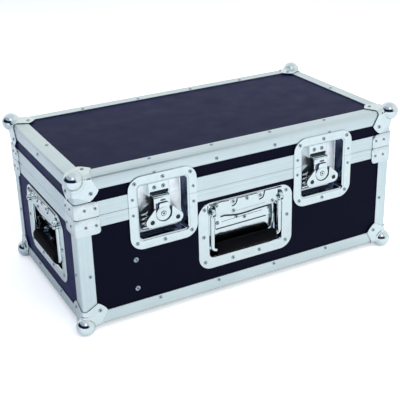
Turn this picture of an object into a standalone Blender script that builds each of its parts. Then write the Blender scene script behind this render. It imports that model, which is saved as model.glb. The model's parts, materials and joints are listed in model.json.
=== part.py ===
"""Flight case: a laminated plywood box in aluminium extrusion, with a hinged lid.

Metres, +Z up. The front, with the two turn latches, faces -Y. The origin lies on the
surface that the case stands on, under its middle, so the ball corners touch z = 0.
Heights named above_ground count from there, and the others from what they name.
"""
import math

import bmesh
import bpy
from mathutils import Matrix, Vector

# Outer size of the aluminium box, without the ball corners
CASE_WIDTH = 0.522
CASE_DEPTH = 0.275
SEAM_HEIGHT = 0.1664
LID_HEIGHT = 0.0586

# Gaps: between pieces that touch, and between the two closing rails
CLEARANCE = 0.0003
SEAM_GAP = 0.0003

# Cutters run this far past what they cut
OVERRUN = 0.002

# Panels of laminated plywood
PANEL_THICKNESS = 0.007

# Double-angle edge extrusion: two outer legs, two inner legs and a web between them
EDGE_LEG = 0.0209
EDGE_THICKNESS = 0.0015
EDGE_INNER_REACH = 0.018
EDGE_INNER_THICKNESS = 0.0013
EDGE_WEB_HALF_WIDTH = 0.0012
EDGE_RADIUS = 0.005

# Closing rails: a channel for the panel edge, with a groove below and a tongue above
BASE_RAIL_HEIGHT = 0.0166
LID_RAIL_HEIGHT = 0.0206
RAIL_HEAD = 0.0065
GROOVE_START = 0.003
GROOVE_WIDTH = 0.0034
GROOVE_DEPTH = 0.005
GROOVE_FLOOR = 0.0024
TONGUE_DEPTH = 0.0044
TONGUE_TAPER_OUTSIDE = 0.0002
TONGUE_TAPER_INSIDE = 0.001

# Ball corners: a pressed ball over three riveted legs
BALL_RADIUS = 0.0134
BALL_INSET = 0.0033
CORNER_THICKNESS = 0.0012
CORNER_EDGE_REACH = 0.027
CORNER_TIP_REACH = 0.036
CORNER_TIP_NEAR = 0.022
CORNER_LOBE_REACH = 0.033

# Brackets that wrap the upright edges beside the seam
BRACKET_THICKNESS = 0.0012
LID_BRACKET_LEG = 0.0345
BASE_BRACKET_LEG = 0.0355
BASE_BRACKET_HEIGHT = 0.0254
BRACKET_ROUNDING = 0.004
BRACKET_CORNER_GAP = 0.0005

# Divider board across the case, held from the front by two screws in cup washers
DIVIDER_LATCH_GAP = 0.003
DIVIDER_THICKNESS = 0.007
DIVIDER_HEIGHT = 0.115
SCREW_UPPER_HEIGHT = 0.0855
SCREW_LOWER_HEIGHT = 0.0404
SCREW_RADIUS = 0.002
SCREW_LENGTH = 0.023
WASHER_RADIUS = 0.004
WASHER_THICKNESS = 0.0012

# Recessed turn latches: a pressed dish cut in two at the seam
LATCH_SPACING = 0.2658
LATCH_FLANGE_WIDTH = 0.104
LATCH_FLANGE_HEIGHT = 0.1094
LATCH_FLANGE_RADIUS = 0.020
LATCH_OPENING_WIDTH = 0.074
LATCH_OPENING_HEIGHT = 0.0795
LATCH_OPENING_RADIUS = 0.005
LATCH_DROP = 0.0116
LATCH_RECESS = 0.018
PRESSING_THICKNESS = 0.0012

# Latch mechanism: depths count inwards from the face of the aluminium
ROTOR_DROP = 0.0201
ROTOR_RADIUS = 0.0112
ROTOR_FRONT = 0.0002
ROTOR_THICKNESS = 0.0028
ROTOR_NECK_HALF_WIDTH = 0.0094
ROTOR_NECK_TOP = 0.0155
HUB_RADIUS = 0.005
HUB_BACK = 0.013
AXLE_RADIUS = 0.0022
BOSS_HALF_WIDTH = 0.027
BOSS_ABOVE_AXIS = 0.0135
BOSS_ABOVE_OPENING = 0.00625
WING_THICKNESS = 0.0018
WING_LOBE_X = 0.0190
WING_LOBE_DROP = 0.0101
WING_LOBE_RADIUS = 0.0089
WING_HOLE_RADIUS = 0.0030
WING_FOLD_RISE = 0.0068
WING_EAR_HALF_WIDTH = 0.0152
WING_EAR_TOP = 0.0012
WING_DISC_GAP = 0.001
WING_PIN_RADIUS = 0.0006
WING_PIN_BITE = 0.0009
HOOK_HALF_WIDTH = 0.0125
HOOK_THICKNESS = 0.0018
HOOK_BELOW_AXIS = 0.0123
HOOK_BEND_ABOVE_SEAM = 0.0068
HOOK_LIP_RISE = 0.004
HOOK_TRAVEL = 0.004
STRIKE_FRONT = 0.012
STRIKE_HALF_WIDTH = 0.0155
STRIKE_ABOVE_SEAM = 0.0028
STRIKE_BELOW_OPENING = 0.00285
STRIKE_SLOT_HALF_WIDTH = 0.0132
STRIKE_SLOT_ABOVE_SEAM = 0.0072
STRIKE_SLOT_HEIGHT = 0.0075
STRIKE_SLOT_DEPTH = 0.003

# Recessed handles: the same dish, bail and grip on the front and on both ends.
# The dish fills the wall between the bottom edge and the closing rail.
HANDLE_ABOVE_EDGE = 0.0176
HANDLE_BELOW_RAIL = 0.0060
HANDLE_BORDER_SIDE = 0.0180
HANDLE_BORDER_BOTTOM = 0.0175
HANDLE_BORDER_TOP = 0.0068
HANDLE_FLANGE_RADIUS = 0.020
HANDLE_OPENING_WIDTH = 0.123
HANDLE_OPENING_RADIUS = 0.006
HANDLE_RECESS = 0.018
COVER_EYE_GAP = 0.0016
COVER_BELOW_OPENING_TOP = 0.020
COVER_ABOVE_OPENING_TOP = 0.006
COVER_THICKNESS = 0.0018
LUG_WIDTH = 0.006
LUG_HALF_HEIGHT = 0.006
LUG_DEPTH = 0.007
BAIL_AXIS_BELOW_OPENING_TOP = 0.0095
BAIL_AXIS_DEPTH = 0.001
BAIL_SIDE_GAP = 0.0047
BAIL_ROD_RADIUS = 0.0032
BAIL_BEND_RADIUS = 0.0055
BAIL_FOOT_ABOVE_OPENING = 0.0116
BAIL_EYE_RADIUS = 0.0063
BAIL_EYE_WIDTH = 0.0056
BAIL_PIN_RADIUS = 0.0024
GRIP_BEND_GAP = 0.0008
GRIP_HEIGHT = 0.017
GRIP_DEPTH = 0.016
GRIP_SET_BACK = 0.0005
GRIP_END_TAPER_SHARE = 0.8
GRIP_END_LENGTH = 0.005

# Continuous hinge along the back, with as many knuckles as fit between its least end distances
HINGE_END_DISTANCE = 0.060
HINGE_KNUCKLE_LENGTH = 0.036
HINGE_KNUCKLE_GAP = 0.0004
HINGE_KNUCKLE_RADIUS = 0.004
HINGE_PIN_RADIUS = 0.0016
HINGE_KNUCKLE_STANDOFF = 0.0005
HINGE_LEAF_THICKNESS = 0.002
HINGE_LEAF_HEIGHT = 0.024
HINGE_LEAF_START = 0.0045

# Steps round curved shapes
EDGE_STEPS = 3
CORNER_STEPS = 4
ROUND_STEPS = 12
BALL_STEPS = 16
BALL_RINGS = 8
ROD_STEPS = 8
BEND_STEPS = 4
SMOOTH_ANGLE = math.radians(35)

# What follows from the sizes above
HALF_WIDTH = CASE_WIDTH / 2
HALF_DEPTH = CASE_DEPTH / 2
GROUND = BALL_RADIUS - BALL_INSET
SEAM = GROUND + SEAM_HEIGHT
TOP = SEAM + LID_HEIGHT
PANEL_OUTSIDE = EDGE_THICKNESS + CLEARANCE
PANEL_INSIDE = PANEL_OUTSIDE + PANEL_THICKNESS
EDGE_INNER_FACE = PANEL_INSIDE + CLEARANCE
RAIL_INSIDE = EDGE_INNER_FACE + EDGE_INNER_THICKNESS
PANEL_EDGE = EDGE_INNER_FACE + EDGE_WEB_HALF_WIDTH + CLEARANCE * 0.5
FLANGE_BACK = -CLEARANCE
FLANGE_FRONT = FLANGE_BACK - PRESSING_THICKNESS
HANDLE_FLANGE_BACK = PANEL_OUTSIDE - CLEARANCE
HANDLE_FLANGE_FRONT = HANDLE_FLANGE_BACK - PRESSING_THICKNESS
LATCH_CENTRE = SEAM - LATCH_DROP
ROTOR_HEIGHT = SEAM - ROTOR_DROP
LATCH_PAN_HALF_WIDTH = LATCH_OPENING_WIDTH / 2 + PRESSING_THICKNESS
DIVIDER_X = -(LATCH_SPACING / 2 + LATCH_PAN_HALF_WIDTH + DIVIDER_LATCH_GAP + DIVIDER_THICKNESS / 2)
HANDLE_BOTTOM = GROUND + EDGE_LEG + HANDLE_ABOVE_EDGE
HANDLE_TOP = SEAM - BASE_RAIL_HEIGHT - HANDLE_BELOW_RAIL
OPENING_BOTTOM = HANDLE_BOTTOM + HANDLE_BORDER_BOTTOM
OPENING_TOP = HANDLE_TOP - HANDLE_BORDER_TOP
BAIL_AXIS_HEIGHT = OPENING_TOP - BAIL_AXIS_BELOW_OPENING_TOP
BAIL_DROP = BAIL_AXIS_HEIGHT - OPENING_BOTTOM - BAIL_FOOT_ABOVE_OPENING
BAIL_HALF_WIDTH = HANDLE_OPENING_WIDTH / 2 - BAIL_SIDE_GAP
COVER_HALF_WIDTH = BAIL_HALF_WIDTH - BAIL_EYE_WIDTH / 2 - COVER_EYE_GAP
GRIP_HALF_LENGTH = BAIL_HALF_WIDTH - BAIL_BEND_RADIUS - GRIP_BEND_GAP
HINGE_AXIS_Y = HALF_DEPTH + HINGE_KNUCKLE_STANDOFF + HINGE_KNUCKLE_RADIUS
HINGE_PITCH = HINGE_KNUCKLE_LENGTH + HINGE_KNUCKLE_GAP
HINGE_PAIRS = math.floor(((CASE_WIDTH - HINGE_END_DISTANCE * 2) / HINGE_PITCH - 1) / 2)
HINGE_KNUCKLES = HINGE_PAIRS * 2 + 1
HINGE_END = (HINGE_PITCH * HINGE_KNUCKLES - HINGE_KNUCKLE_GAP) / 2


# Finishes

def finish(name, colour, roughness, metallic):
    """Return a Principled material of the given colour."""
    made = bpy.data.materials.new(name)
    made.use_nodes = True
    shader = made.node_tree.nodes["Principled BSDF"]
    shader.inputs["Base Color"].default_value = (*colour, 1.0)
    shader.inputs["Roughness"].default_value = roughness
    shader.inputs["Metallic"].default_value = metallic
    made.diffuse_color = (*colour, 1.0)
    return made


def make_finishes():
    """Return the finishes that the pieces wear, by name."""
    return {
        "laminate": finish("laminate", (0.02, 0.02, 0.03), 0.45, 0.0),
        "aluminium": finish("aluminium", (0.72, 0.78, 0.78), 0.35, 1.0),
        "chrome": finish("chrome", (0.80, 0.83, 0.86), 0.12, 1.0),
        "zinc": finish("zinc", (0.62, 0.66, 0.70), 0.3, 1.0),
        "rubber": finish("rubber", (0.012, 0.012, 0.014), 0.6, 0.0),
        "plywood": finish("plywood", (0.45, 0.32, 0.20), 0.7, 0.0),
    }


# Outlines and solids

def rounded_rectangle(half_width, half_height, radius, steps, centre=(0.0, 0.0)):
    """Return the points of a rectangle with round corners, anticlockwise."""
    points = []
    corners = ((1, 1, 0), (-1, 1, 1), (-1, -1, 2), (1, -1, 3))
    for side, rise, quarter in corners:
        middle_x = centre[0] + side * (half_width - radius)
        middle_y = centre[1] + rise * (half_height - radius)
        for step in range(steps + 1):
            angle = (quarter + step / steps) * math.pi / 2
            points.append((middle_x + radius * math.cos(angle), middle_y + radius * math.sin(angle)))
    return points


def circle(radius, steps, centre=(0.0, 0.0), squash=1.0):
    """Return the points of a circle, or of an ellipse that is squash times as wide."""
    points = []
    for step in range(steps):
        angle = 2 * math.pi * step / steps
        points.append((centre[0] + squash * radius * math.cos(angle), centre[1] + radius * math.sin(angle)))
    return points


def arc(radius, start, end, steps, centre):
    """Return points on an arc from one angle to another, in radians."""
    points = []
    for step in range(steps + 1):
        angle = start + (end - start) * step / steps
        points.append((centre[0] + radius * math.cos(angle), centre[1] + radius * math.sin(angle)))
    return points


def place_on(axis, across, up, along):
    """Return a point whose outline place is (across, up) in the plane square to an axis."""
    if axis == "X":
        return (along, across, up)
    if axis == "Y":
        return (across, along, up)
    return (across, up, along)


def skin(loops, closed=False):
    """Return a mesh through loops of equal length, capped at both ends unless closed."""
    bm = bmesh.new()
    rows = [[bm.verts.new(point) for point in loop] for loop in loops]
    count = len(loops[0])
    pairs = list(zip(rows, rows[1:]))
    if closed:
        pairs.append((rows[-1], rows[0]))
    for first, second in pairs:
        for index in range(count):
            following = (index + 1) % count
            bm.faces.new((first[index], first[following], second[following], second[index]))
    if not closed:
        bm.faces.new(rows[0])
        bm.faces.new(rows[-1])
    return tidy(bm)


def tidy(bm):
    """Merge points that fall together and turn every face outwards."""
    bmesh.ops.remove_doubles(bm, verts=bm.verts, dist=CLEARANCE / 1000)
    bmesh.ops.dissolve_degenerate(bm, edges=bm.edges, dist=CLEARANCE / 1000)
    bmesh.ops.recalc_face_normals(bm, faces=bm.faces)
    return bm


def prism(outline, axis, start, end):
    """Return an outline extruded along an axis."""
    loops = []
    for along in (start, end):
        loops.append([place_on(axis, across, up, along) for across, up in outline])
    return skin(loops)


def block(low, high):
    """Return a box between two corners."""
    outline = ((low[0], low[1]), (high[0], low[1]), (high[0], high[1]), (low[0], high[1]))
    return prism(outline, "Z", low[2], high[2])


def ring(section, height, direction):
    """Sweep a section of (inset, rise) round the case; small insets turn round corners."""
    loops = []
    for inset, rise in section:
        radius = max(EDGE_RADIUS - inset, 0.0)
        loop = rounded_rectangle(HALF_WIDTH - inset, HALF_DEPTH - inset, radius, EDGE_STEPS)
        loops.append([(x, y, height + direction * rise) for x, y in loop])
    return skin(loops, closed=True)


def tube(path, radius, steps):
    """Return a round rod along a path of points that lies in one plane of x and z."""
    loops = []
    for index, point in enumerate(path):
        before = path[max(index - 1, 0)]
        after = path[min(index + 1, len(path) - 1)]
        run = (after - before).normalized()
        side = Vector((0.0, 1.0, 0.0))
        lift = run.cross(side).normalized()
        loops.append([point + side * across + lift * up for across, up in circle(radius, steps)])
    return skin(loops)


# Objects

def add(name, bm, material, frame=None, carrier=None):
    """Turn a mesh into a named object, placed by a frame and held by its carrier."""
    mesh = bpy.data.meshes.new(name)
    bm.to_mesh(mesh)
    bm.free()
    mesh.materials.append(material)
    return add_mesh(name, mesh, frame, carrier)


def add_mesh(name, mesh, frame=None, carrier=None):
    """Make an object of a mesh, which other objects may share."""
    item = bpy.data.objects.new(name, mesh)
    bpy.context.scene.collection.objects.link(item)
    if frame is not None:
        item.matrix_world = frame
    if carrier is not None:
        hold(item, carrier)
    return item


def add_pivot(name, frame):
    """Make an empty on a joint's axis."""
    pivot = bpy.data.objects.new(name, None)
    pivot.empty_display_size = EDGE_LEG
    bpy.context.scene.collection.objects.link(pivot)
    pivot.matrix_world = frame
    return pivot


def hold(item, carrier):
    """Parent an object to its carrier where it stands."""
    bpy.context.view_layer.update()
    item.parent = carrier
    item.matrix_parent_inverse = carrier.matrix_world.inverted()


def combine(item, tool, operation):
    """Join, cut or intersect an object with a tool mesh, and keep the result as its mesh."""
    helper = add("helper", tool, item.data.materials[0], item.matrix_world.copy())
    modifier = item.modifiers.new(operation.lower(), "BOOLEAN")
    modifier.operation = operation
    modifier.solver = "EXACT"
    modifier.object = helper
    bpy.context.view_layer.update()
    graph = bpy.context.evaluated_depsgraph_get()
    result = bpy.data.meshes.new_from_object(item.evaluated_get(graph))
    item.modifiers.clear()
    item.data = result
    bpy.data.objects.remove(helper, do_unlink=True)


def join(item, *tools):
    """Add each tool mesh to an object."""
    for tool in tools:
        combine(item, tool, "UNION")


def cut(item, *tools):
    """Take each tool mesh out of an object."""
    for tool in tools:
        combine(item, tool, "DIFFERENCE")


def smooth(item):
    """Shade an object smooth, with its edges kept sharp."""
    item.data.shade_smooth()
    item.data.set_sharp_from_angle(angle=SMOOTH_ANGLE)


# Frame of the case

def edge_section():
    """Return the section of the edge extrusion, from its outer corner."""
    thin = EDGE_THICKNESS
    web = EDGE_WEB_HALF_WIDTH
    face = EDGE_INNER_FACE
    side = [
        (EDGE_LEG, 0.0),
        (EDGE_LEG, thin),
        (thin + web, thin),
        (face + web, face),
        (EDGE_INNER_REACH, face),
        (EDGE_INNER_REACH, RAIL_INSIDE),
        (RAIL_INSIDE, RAIL_INSIDE),
    ]
    other_side = [(v, u) for u, v in reversed(side[:-1])]
    round_edge = arc(EDGE_RADIUS, math.pi, 1.5 * math.pi, EDGE_STEPS, (EDGE_RADIUS, EDGE_RADIUS))
    return side + other_side + round_edge


def base_rail_section():
    """Return the section of the base closing rail, with its rise from the seam."""
    top = -SEAM_GAP / 2
    bottom = -BASE_RAIL_HEIGHT
    groove = top - GROOVE_DEPTH
    head = groove - GROOVE_FLOOR
    groove_end = GROOVE_START + GROOVE_WIDTH
    return [
        (0.0, bottom), (0.0, top), (GROOVE_START, top), (GROOVE_START, groove),
        (groove_end, groove), (groove_end, top), (RAIL_INSIDE, top), (RAIL_INSIDE, bottom),
        (EDGE_INNER_FACE, bottom), (EDGE_INNER_FACE, head), (EDGE_THICKNESS, head), (EDGE_THICKNESS, bottom),
    ]


def lid_rail_section():
    """Return the section of the lid closing rail, whose tongue drops into the groove."""
    bottom = SEAM_GAP / 2
    top = LID_RAIL_HEIGHT
    root_start = GROOVE_START + CLEARANCE
    root_end = GROOVE_START + GROOVE_WIDTH - CLEARANCE
    tip_start = root_start + TONGUE_TAPER_OUTSIDE
    tip_end = root_end - TONGUE_TAPER_INSIDE
    return [
        (0.0, top), (0.0, bottom), (root_start, bottom), (tip_start, -TONGUE_DEPTH),
        (tip_end, -TONGUE_DEPTH), (root_end, bottom), (RAIL_INSIDE, bottom), (RAIL_INSIDE, top),
        (EDGE_INNER_FACE, top), (EDGE_INNER_FACE, RAIL_HEAD), (EDGE_THICKNESS, RAIL_HEAD), (EDGE_THICKNESS, top),
    ]


def front_rail(section):
    """Return the straight length of rail on the front, between the two latches."""
    outline = [(inset - HALF_DEPTH, SEAM + rise) for inset, rise in section]
    end = LATCH_SPACING / 2 - latch_hole_half_width()
    return prism(outline, "X", -end, end)


def latch_hole_half_width():
    """Return half the width that a latch's recess takes out of the case."""
    return LATCH_PAN_HALF_WIDTH + CLEARANCE


def front_gap():
    """Return the block that takes the front out of a ring, from latch to latch."""
    end = LATCH_SPACING / 2 + latch_hole_half_width()
    low = (-end, -HALF_DEPTH - OVERRUN, SEAM - BASE_RAIL_HEIGHT - OVERRUN)
    high = (end, -HALF_DEPTH + EDGE_INNER_REACH, SEAM + LID_RAIL_HEIGHT + OVERRUN)
    return block(low, high)


def corner_signs():
    """Return the name and the signs of x and y of the four upright edges."""
    return (
        ("front_left", -1, -1), ("front_right", 1, -1),
        ("back_left", -1, 1), ("back_right", 1, 1),
    )


def upright(x_sign, y_sign, bottom, top):
    """Return a length of the edge extrusion at one upright edge."""
    outline = [(x_sign * (HALF_WIDTH - u), y_sign * (HALF_DEPTH - v)) for u, v in edge_section()]
    return prism(outline, "Z", bottom, top)


def make_base_frame(finishes):
    """Make the bottom edge ring, the four posts and the two parts of the closing rail."""
    aluminium = finishes["aluminium"]
    add("base_edge_frame", ring(edge_section(), GROUND, 1), aluminium)
    post_bottom = GROUND + EDGE_LEG + CLEARANCE
    post_top = SEAM - BASE_RAIL_HEIGHT - CLEARANCE
    for place, x_sign, y_sign in corner_signs():
        add("base_post_" + place, upright(x_sign, y_sign, post_bottom, post_top), aluminium)
    rail = add("base_closing_rail", ring(base_rail_section(), SEAM, 1), aluminium)
    cut(rail, front_gap())
    add("base_closing_rail_front", front_rail(base_rail_section()), aluminium)


def make_lid_frame(finishes, lid):
    """Make the lid's edge ring with its short posts, and the two parts of its closing rail."""
    aluminium = finishes["aluminium"]
    frame = add("lid_edge_frame", ring(edge_section(), TOP, -1), aluminium)
    post_bottom = SEAM + LID_RAIL_HEIGHT + CLEARANCE
    post_top = TOP - EDGE_LEG + EDGE_THICKNESS
    for _place, x_sign, y_sign in corner_signs():
        join(frame, upright(x_sign, y_sign, post_bottom, post_top))
    hold(frame, lid)
    rail = add("lid_closing_rail", ring(lid_rail_section(), SEAM, 1), aluminium)
    cut(rail, front_gap())
    hold(rail, lid)
    add("lid_closing_rail_front", front_rail(lid_rail_section()), aluminium, None, lid)


# Panels

def wall_panel(side, bottom, top):
    """Return the board of one side wall, between two heights."""
    if side in ("front", "back"):
        sign = -1 if side == "front" else 1
        faces = sorted((sign * (HALF_DEPTH - PANEL_OUTSIDE), sign * (HALF_DEPTH - PANEL_INSIDE)))
        end = HALF_WIDTH - PANEL_EDGE
        return block((-end, faces[0], bottom), (end, faces[1], top))
    sign = -1 if side == "left" else 1
    faces = sorted((sign * (HALF_WIDTH - PANEL_OUTSIDE), sign * (HALF_WIDTH - PANEL_INSIDE)))
    end = HALF_DEPTH - PANEL_EDGE
    return block((faces[0], -end, bottom), (faces[1], end, top))


def flat_panel(bottom):
    """Return the board of the floor or of the lid's top."""
    half_x = HALF_WIDTH - PANEL_EDGE
    half_y = HALF_DEPTH - PANEL_EDGE
    return block((-half_x, -half_y, bottom), (half_x, half_y, bottom + PANEL_THICKNESS))


def latch_hole(centre_x):
    """Return the cutter for one latch's recess."""
    half_width = latch_hole_half_width()
    half_height = LATCH_OPENING_HEIGHT / 2 + PRESSING_THICKNESS + CLEARANCE
    radius = LATCH_OPENING_RADIUS + PRESSING_THICKNESS + CLEARANCE
    outline = rounded_rectangle(half_width, half_height, radius, CORNER_STEPS, (centre_x, LATCH_CENTRE))
    return prism(outline, "Y", -HALF_DEPTH - OVERRUN, -HALF_DEPTH + EDGE_INNER_REACH)


def handle_hole():
    """Return the cutter for a handle's pan, in the handle's frame."""
    spread = PRESSING_THICKNESS + CLEARANCE
    outline = handle_opening(spread)
    return prism(outline, "Y", -OVERRUN, EDGE_INNER_REACH)


def handle_opening(spread):
    """Return the outline of the handle's opening, made larger all round by spread."""
    centre = (0.0, (OPENING_BOTTOM + OPENING_TOP) / 2)
    half_width = HANDLE_OPENING_WIDTH / 2 + spread
    half_height = (OPENING_TOP - OPENING_BOTTOM) / 2 + spread
    return rounded_rectangle(half_width, half_height, HANDLE_OPENING_RADIUS + spread, CORNER_STEPS, centre)


def handle_frames():
    """Return each handle's frame: x to the right, y into the case, z up."""
    front = Matrix.Translation((0.0, -HALF_DEPTH, 0.0))
    left = Matrix.Translation((-HALF_WIDTH, 0.0, 0.0)) @ Matrix.Rotation(-math.pi / 2, 4, "Z")
    right = Matrix.Translation((HALF_WIDTH, 0.0, 0.0)) @ Matrix.Rotation(math.pi / 2, 4, "Z")
    return {"front": front, "left": left, "right": right}


def moved(bm, frame):
    """Move a mesh by a frame."""
    bmesh.ops.transform(bm, matrix=frame, verts=bm.verts)
    return bm


def latch_centres():
    """Return the side and the middle of each latch."""
    return (("left", -LATCH_SPACING / 2), ("right", LATCH_SPACING / 2))


def screw_heights():
    """Return the name and height above ground of each divider screw."""
    return (("upper", GROUND + SCREW_UPPER_HEIGHT), ("lower", GROUND + SCREW_LOWER_HEIGHT))


def screw_hole(height, end):
    """Return the cutter for a divider screw, down to a depth from the front."""
    outline = circle(SCREW_RADIUS + CLEARANCE, ROUND_STEPS, (DIVIDER_X, height))
    return prism(outline, "Y", -HALF_DEPTH, -HALF_DEPTH + end)


def make_base_panels(finishes):
    """Make the floor and the four walls of the base, with their holes."""
    laminate = finishes["laminate"]
    add("base_floor_panel", flat_panel(GROUND + PANEL_OUTSIDE), laminate)
    bottom = GROUND + PANEL_EDGE
    head = GROOVE_DEPTH + GROOVE_FLOOR + SEAM_GAP / 2
    top = SEAM - head - CLEARANCE
    frames = handle_frames()
    for side in ("front", "back", "left", "right"):
        panel = add("base_" + side + "_panel", wall_panel(side, bottom, top), laminate)
        if side in frames:
            cut(panel, moved(handle_hole(), frames[side]))
        if side == "front":
            for _side, centre in latch_centres():
                cut(panel, latch_hole(centre))
            for _name, height in screw_heights():
                cut(panel, screw_hole(height, EDGE_INNER_REACH))


def make_lid_panels(finishes, lid):
    """Make the lid's top board and its four strips."""
    laminate = finishes["laminate"]
    add("lid_top_panel", flat_panel(TOP - PANEL_INSIDE), laminate, None, lid)
    bottom = SEAM + RAIL_HEAD + CLEARANCE
    top = TOP - PANEL_EDGE
    for side in ("front", "back", "left", "right"):
        strip = add("lid_" + side + "_strip", wall_panel(side, bottom, top), laminate)
        if side == "front":
            for _side, centre in latch_centres():
                cut(strip, latch_hole(centre))
        hold(strip, lid)


def make_divider(finishes):
    """Make the divider board, notched round the edge extrusion, and its two screws."""
    low = GROUND + PANEL_INSIDE + CLEARANCE
    end = HALF_DEPTH - PANEL_INSIDE - CLEARANCE
    notch = EDGE_INNER_REACH + CLEARANCE
    outline = [
        (-HALF_DEPTH + notch, low), (HALF_DEPTH - notch, low), (HALF_DEPTH - notch, GROUND + notch),
        (end, GROUND + notch), (end, low + DIVIDER_HEIGHT), (-end, low + DIVIDER_HEIGHT),
        (-end, GROUND + notch), (-HALF_DEPTH + notch, GROUND + notch),
    ]
    half = DIVIDER_THICKNESS / 2
    divider = add("divider_panel", prism(outline, "X", DIVIDER_X - half, DIVIDER_X + half), finishes["plywood"])
    washer_back = PANEL_OUTSIDE - CLEARANCE
    tip = washer_back + SCREW_LENGTH
    for name, height in screw_heights():
        cut(divider, screw_hole(height, tip + CLEARANCE))
        frame = Matrix.Translation((DIVIDER_X, -HALF_DEPTH, height))
        shank = prism(circle(SCREW_RADIUS, ROUND_STEPS), "Y", washer_back - WASHER_THICKNESS / 2, tip)
        screw = add("divider_screw_" + name, shank, finishes["zinc"], frame)
        washer = circle(WASHER_RADIUS, ROUND_STEPS)
        join(screw, prism(washer, "Y", washer_back - WASHER_THICKNESS, washer_back))
        smooth(screw)


# Corners

def rounded_cube(outside, reach, radius):
    """Return a cube over the corner at the origin, with its three outer edges rounded."""
    bm = block((-outside, -outside, -outside), (reach, reach, reach))
    near = [vert for vert in bm.verts if max(vert.co) < 0.0]
    edges = [edge for vert in near for edge in vert.link_edges]
    bmesh.ops.bevel(bm, geom=edges, offset=radius, segments=EDGE_STEPS, profile=0.5, affect="EDGES")
    bmesh.ops.recalc_face_normals(bm, faces=bm.faces)
    return bm


def ball(radius):
    """Return a ball whose middle lies inside the corner."""
    bm = bmesh.new()
    bmesh.ops.create_uvsphere(bm, u_segments=BALL_STEPS, v_segments=BALL_RINGS, radius=radius)
    middle = Vector((BALL_INSET, BALL_INSET, BALL_INSET))
    bmesh.ops.translate(bm, vec=middle, verts=bm.verts)
    return bm


def leg_cutter(axis):
    """Return the cutter that leaves one leg of a ball corner in its outline."""
    reach = CORNER_TIP_REACH + OVERRUN * 2
    start = -EDGE_RADIUS
    outline = [
        (CORNER_EDGE_REACH, start), (CORNER_EDGE_REACH, EDGE_RADIUS), (CORNER_TIP_REACH, CORNER_TIP_NEAR),
        (CORNER_LOBE_REACH, CORNER_EDGE_REACH), (CORNER_EDGE_REACH, CORNER_LOBE_REACH),
        (CORNER_TIP_NEAR, CORNER_TIP_REACH), (EDGE_RADIUS, CORNER_EDGE_REACH), (start, CORNER_EDGE_REACH),
        (start, reach), (reach, reach), (reach, start),
    ]
    return prism(outline, axis, start, EDGE_RADIUS)


def make_ball_corner_mesh(finishes):
    """Make the mesh that the eight ball corners share, for the corner at the origin."""
    outside = CLEARANCE + CORNER_THICKNESS
    reach = CORNER_TIP_REACH + OVERRUN
    shell = add("ball_corner", rounded_cube(outside, reach, EDGE_RADIUS + outside), finishes["chrome"])
    join(shell, ball(BALL_RADIUS))
    cut(shell, rounded_cube(CLEARANCE, reach + OVERRUN, EDGE_RADIUS + CLEARANCE))
    cut(shell, ball(BALL_RADIUS - CORNER_THICKNESS))
    cut(shell, leg_cutter("X"), leg_cutter("Y"), leg_cutter("Z"))
    smooth(shell)
    mesh = shell.data
    bpy.data.objects.remove(shell, do_unlink=True)
    return mesh


def corner_frame(x_sign, y_sign, z_sign):
    """Return the frame that turns the shared corner into the given corner of the case."""
    if x_sign * y_sign * z_sign == -1:
        turn = Matrix(((-x_sign, 0, 0), (0, -y_sign, 0), (0, 0, -z_sign))).to_4x4()
    else:
        turn = Matrix(((0, -x_sign, 0), (-y_sign, 0, 0), (0, 0, -z_sign))).to_4x4()
    height = GROUND if z_sign < 0 else TOP
    return Matrix.Translation((x_sign * HALF_WIDTH, y_sign * HALF_DEPTH, height)) @ turn


def make_ball_corners(finishes, lid):
    """Make the four ball corners under the base and the four on the lid."""
    mesh = make_ball_corner_mesh(finishes)
    for place, x_sign, y_sign in corner_signs():
        add_mesh("base_ball_corner_" + place, mesh, corner_frame(x_sign, y_sign, -1))
        add_mesh("lid_ball_corner_" + place, mesh, corner_frame(x_sign, y_sign, 1), lid)


def bracket(leg, bottom, top):
    """Return a bracket round the upright edge at the origin, which lies towards -x and -y."""
    inner = CLEARANCE
    outer = CLEARANCE + BRACKET_THICKNESS
    round_outside = arc(EDGE_RADIUS + outer, math.pi, 1.5 * math.pi, EDGE_STEPS, (EDGE_RADIUS, EDGE_RADIUS))
    round_inside = arc(EDGE_RADIUS + inner, 1.5 * math.pi, math.pi, EDGE_STEPS, (EDGE_RADIUS, EDGE_RADIUS))
    outline = round_outside + [(leg, -outer), (leg, -inner)] + round_inside + [(-inner, leg), (-outer, leg)]
    bm = prism(outline, "Z", bottom, top)
    ends = [edge for edge in bm.edges if is_leg_end(edge, leg)]
    bmesh.ops.bevel(bm, geom=ends, offset=BRACKET_ROUNDING, segments=2, profile=0.5, affect="EDGES")
    bmesh.ops.recalc_face_normals(bm, faces=bm.faces)
    return bm


def is_leg_end(edge, leg):
    """Tell whether an edge crosses the thickness at the far end of a bracket's leg."""
    first, second = (vert.co for vert in edge.verts)
    level = abs(first.z - second.z) < CLEARANCE
    short = edge.calc_length() < BRACKET_THICKNESS + CLEARANCE
    far = max(first.x, first.y) > leg - CLEARANCE and max(second.x, second.y) > leg - CLEARANCE
    return level and short and far


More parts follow.
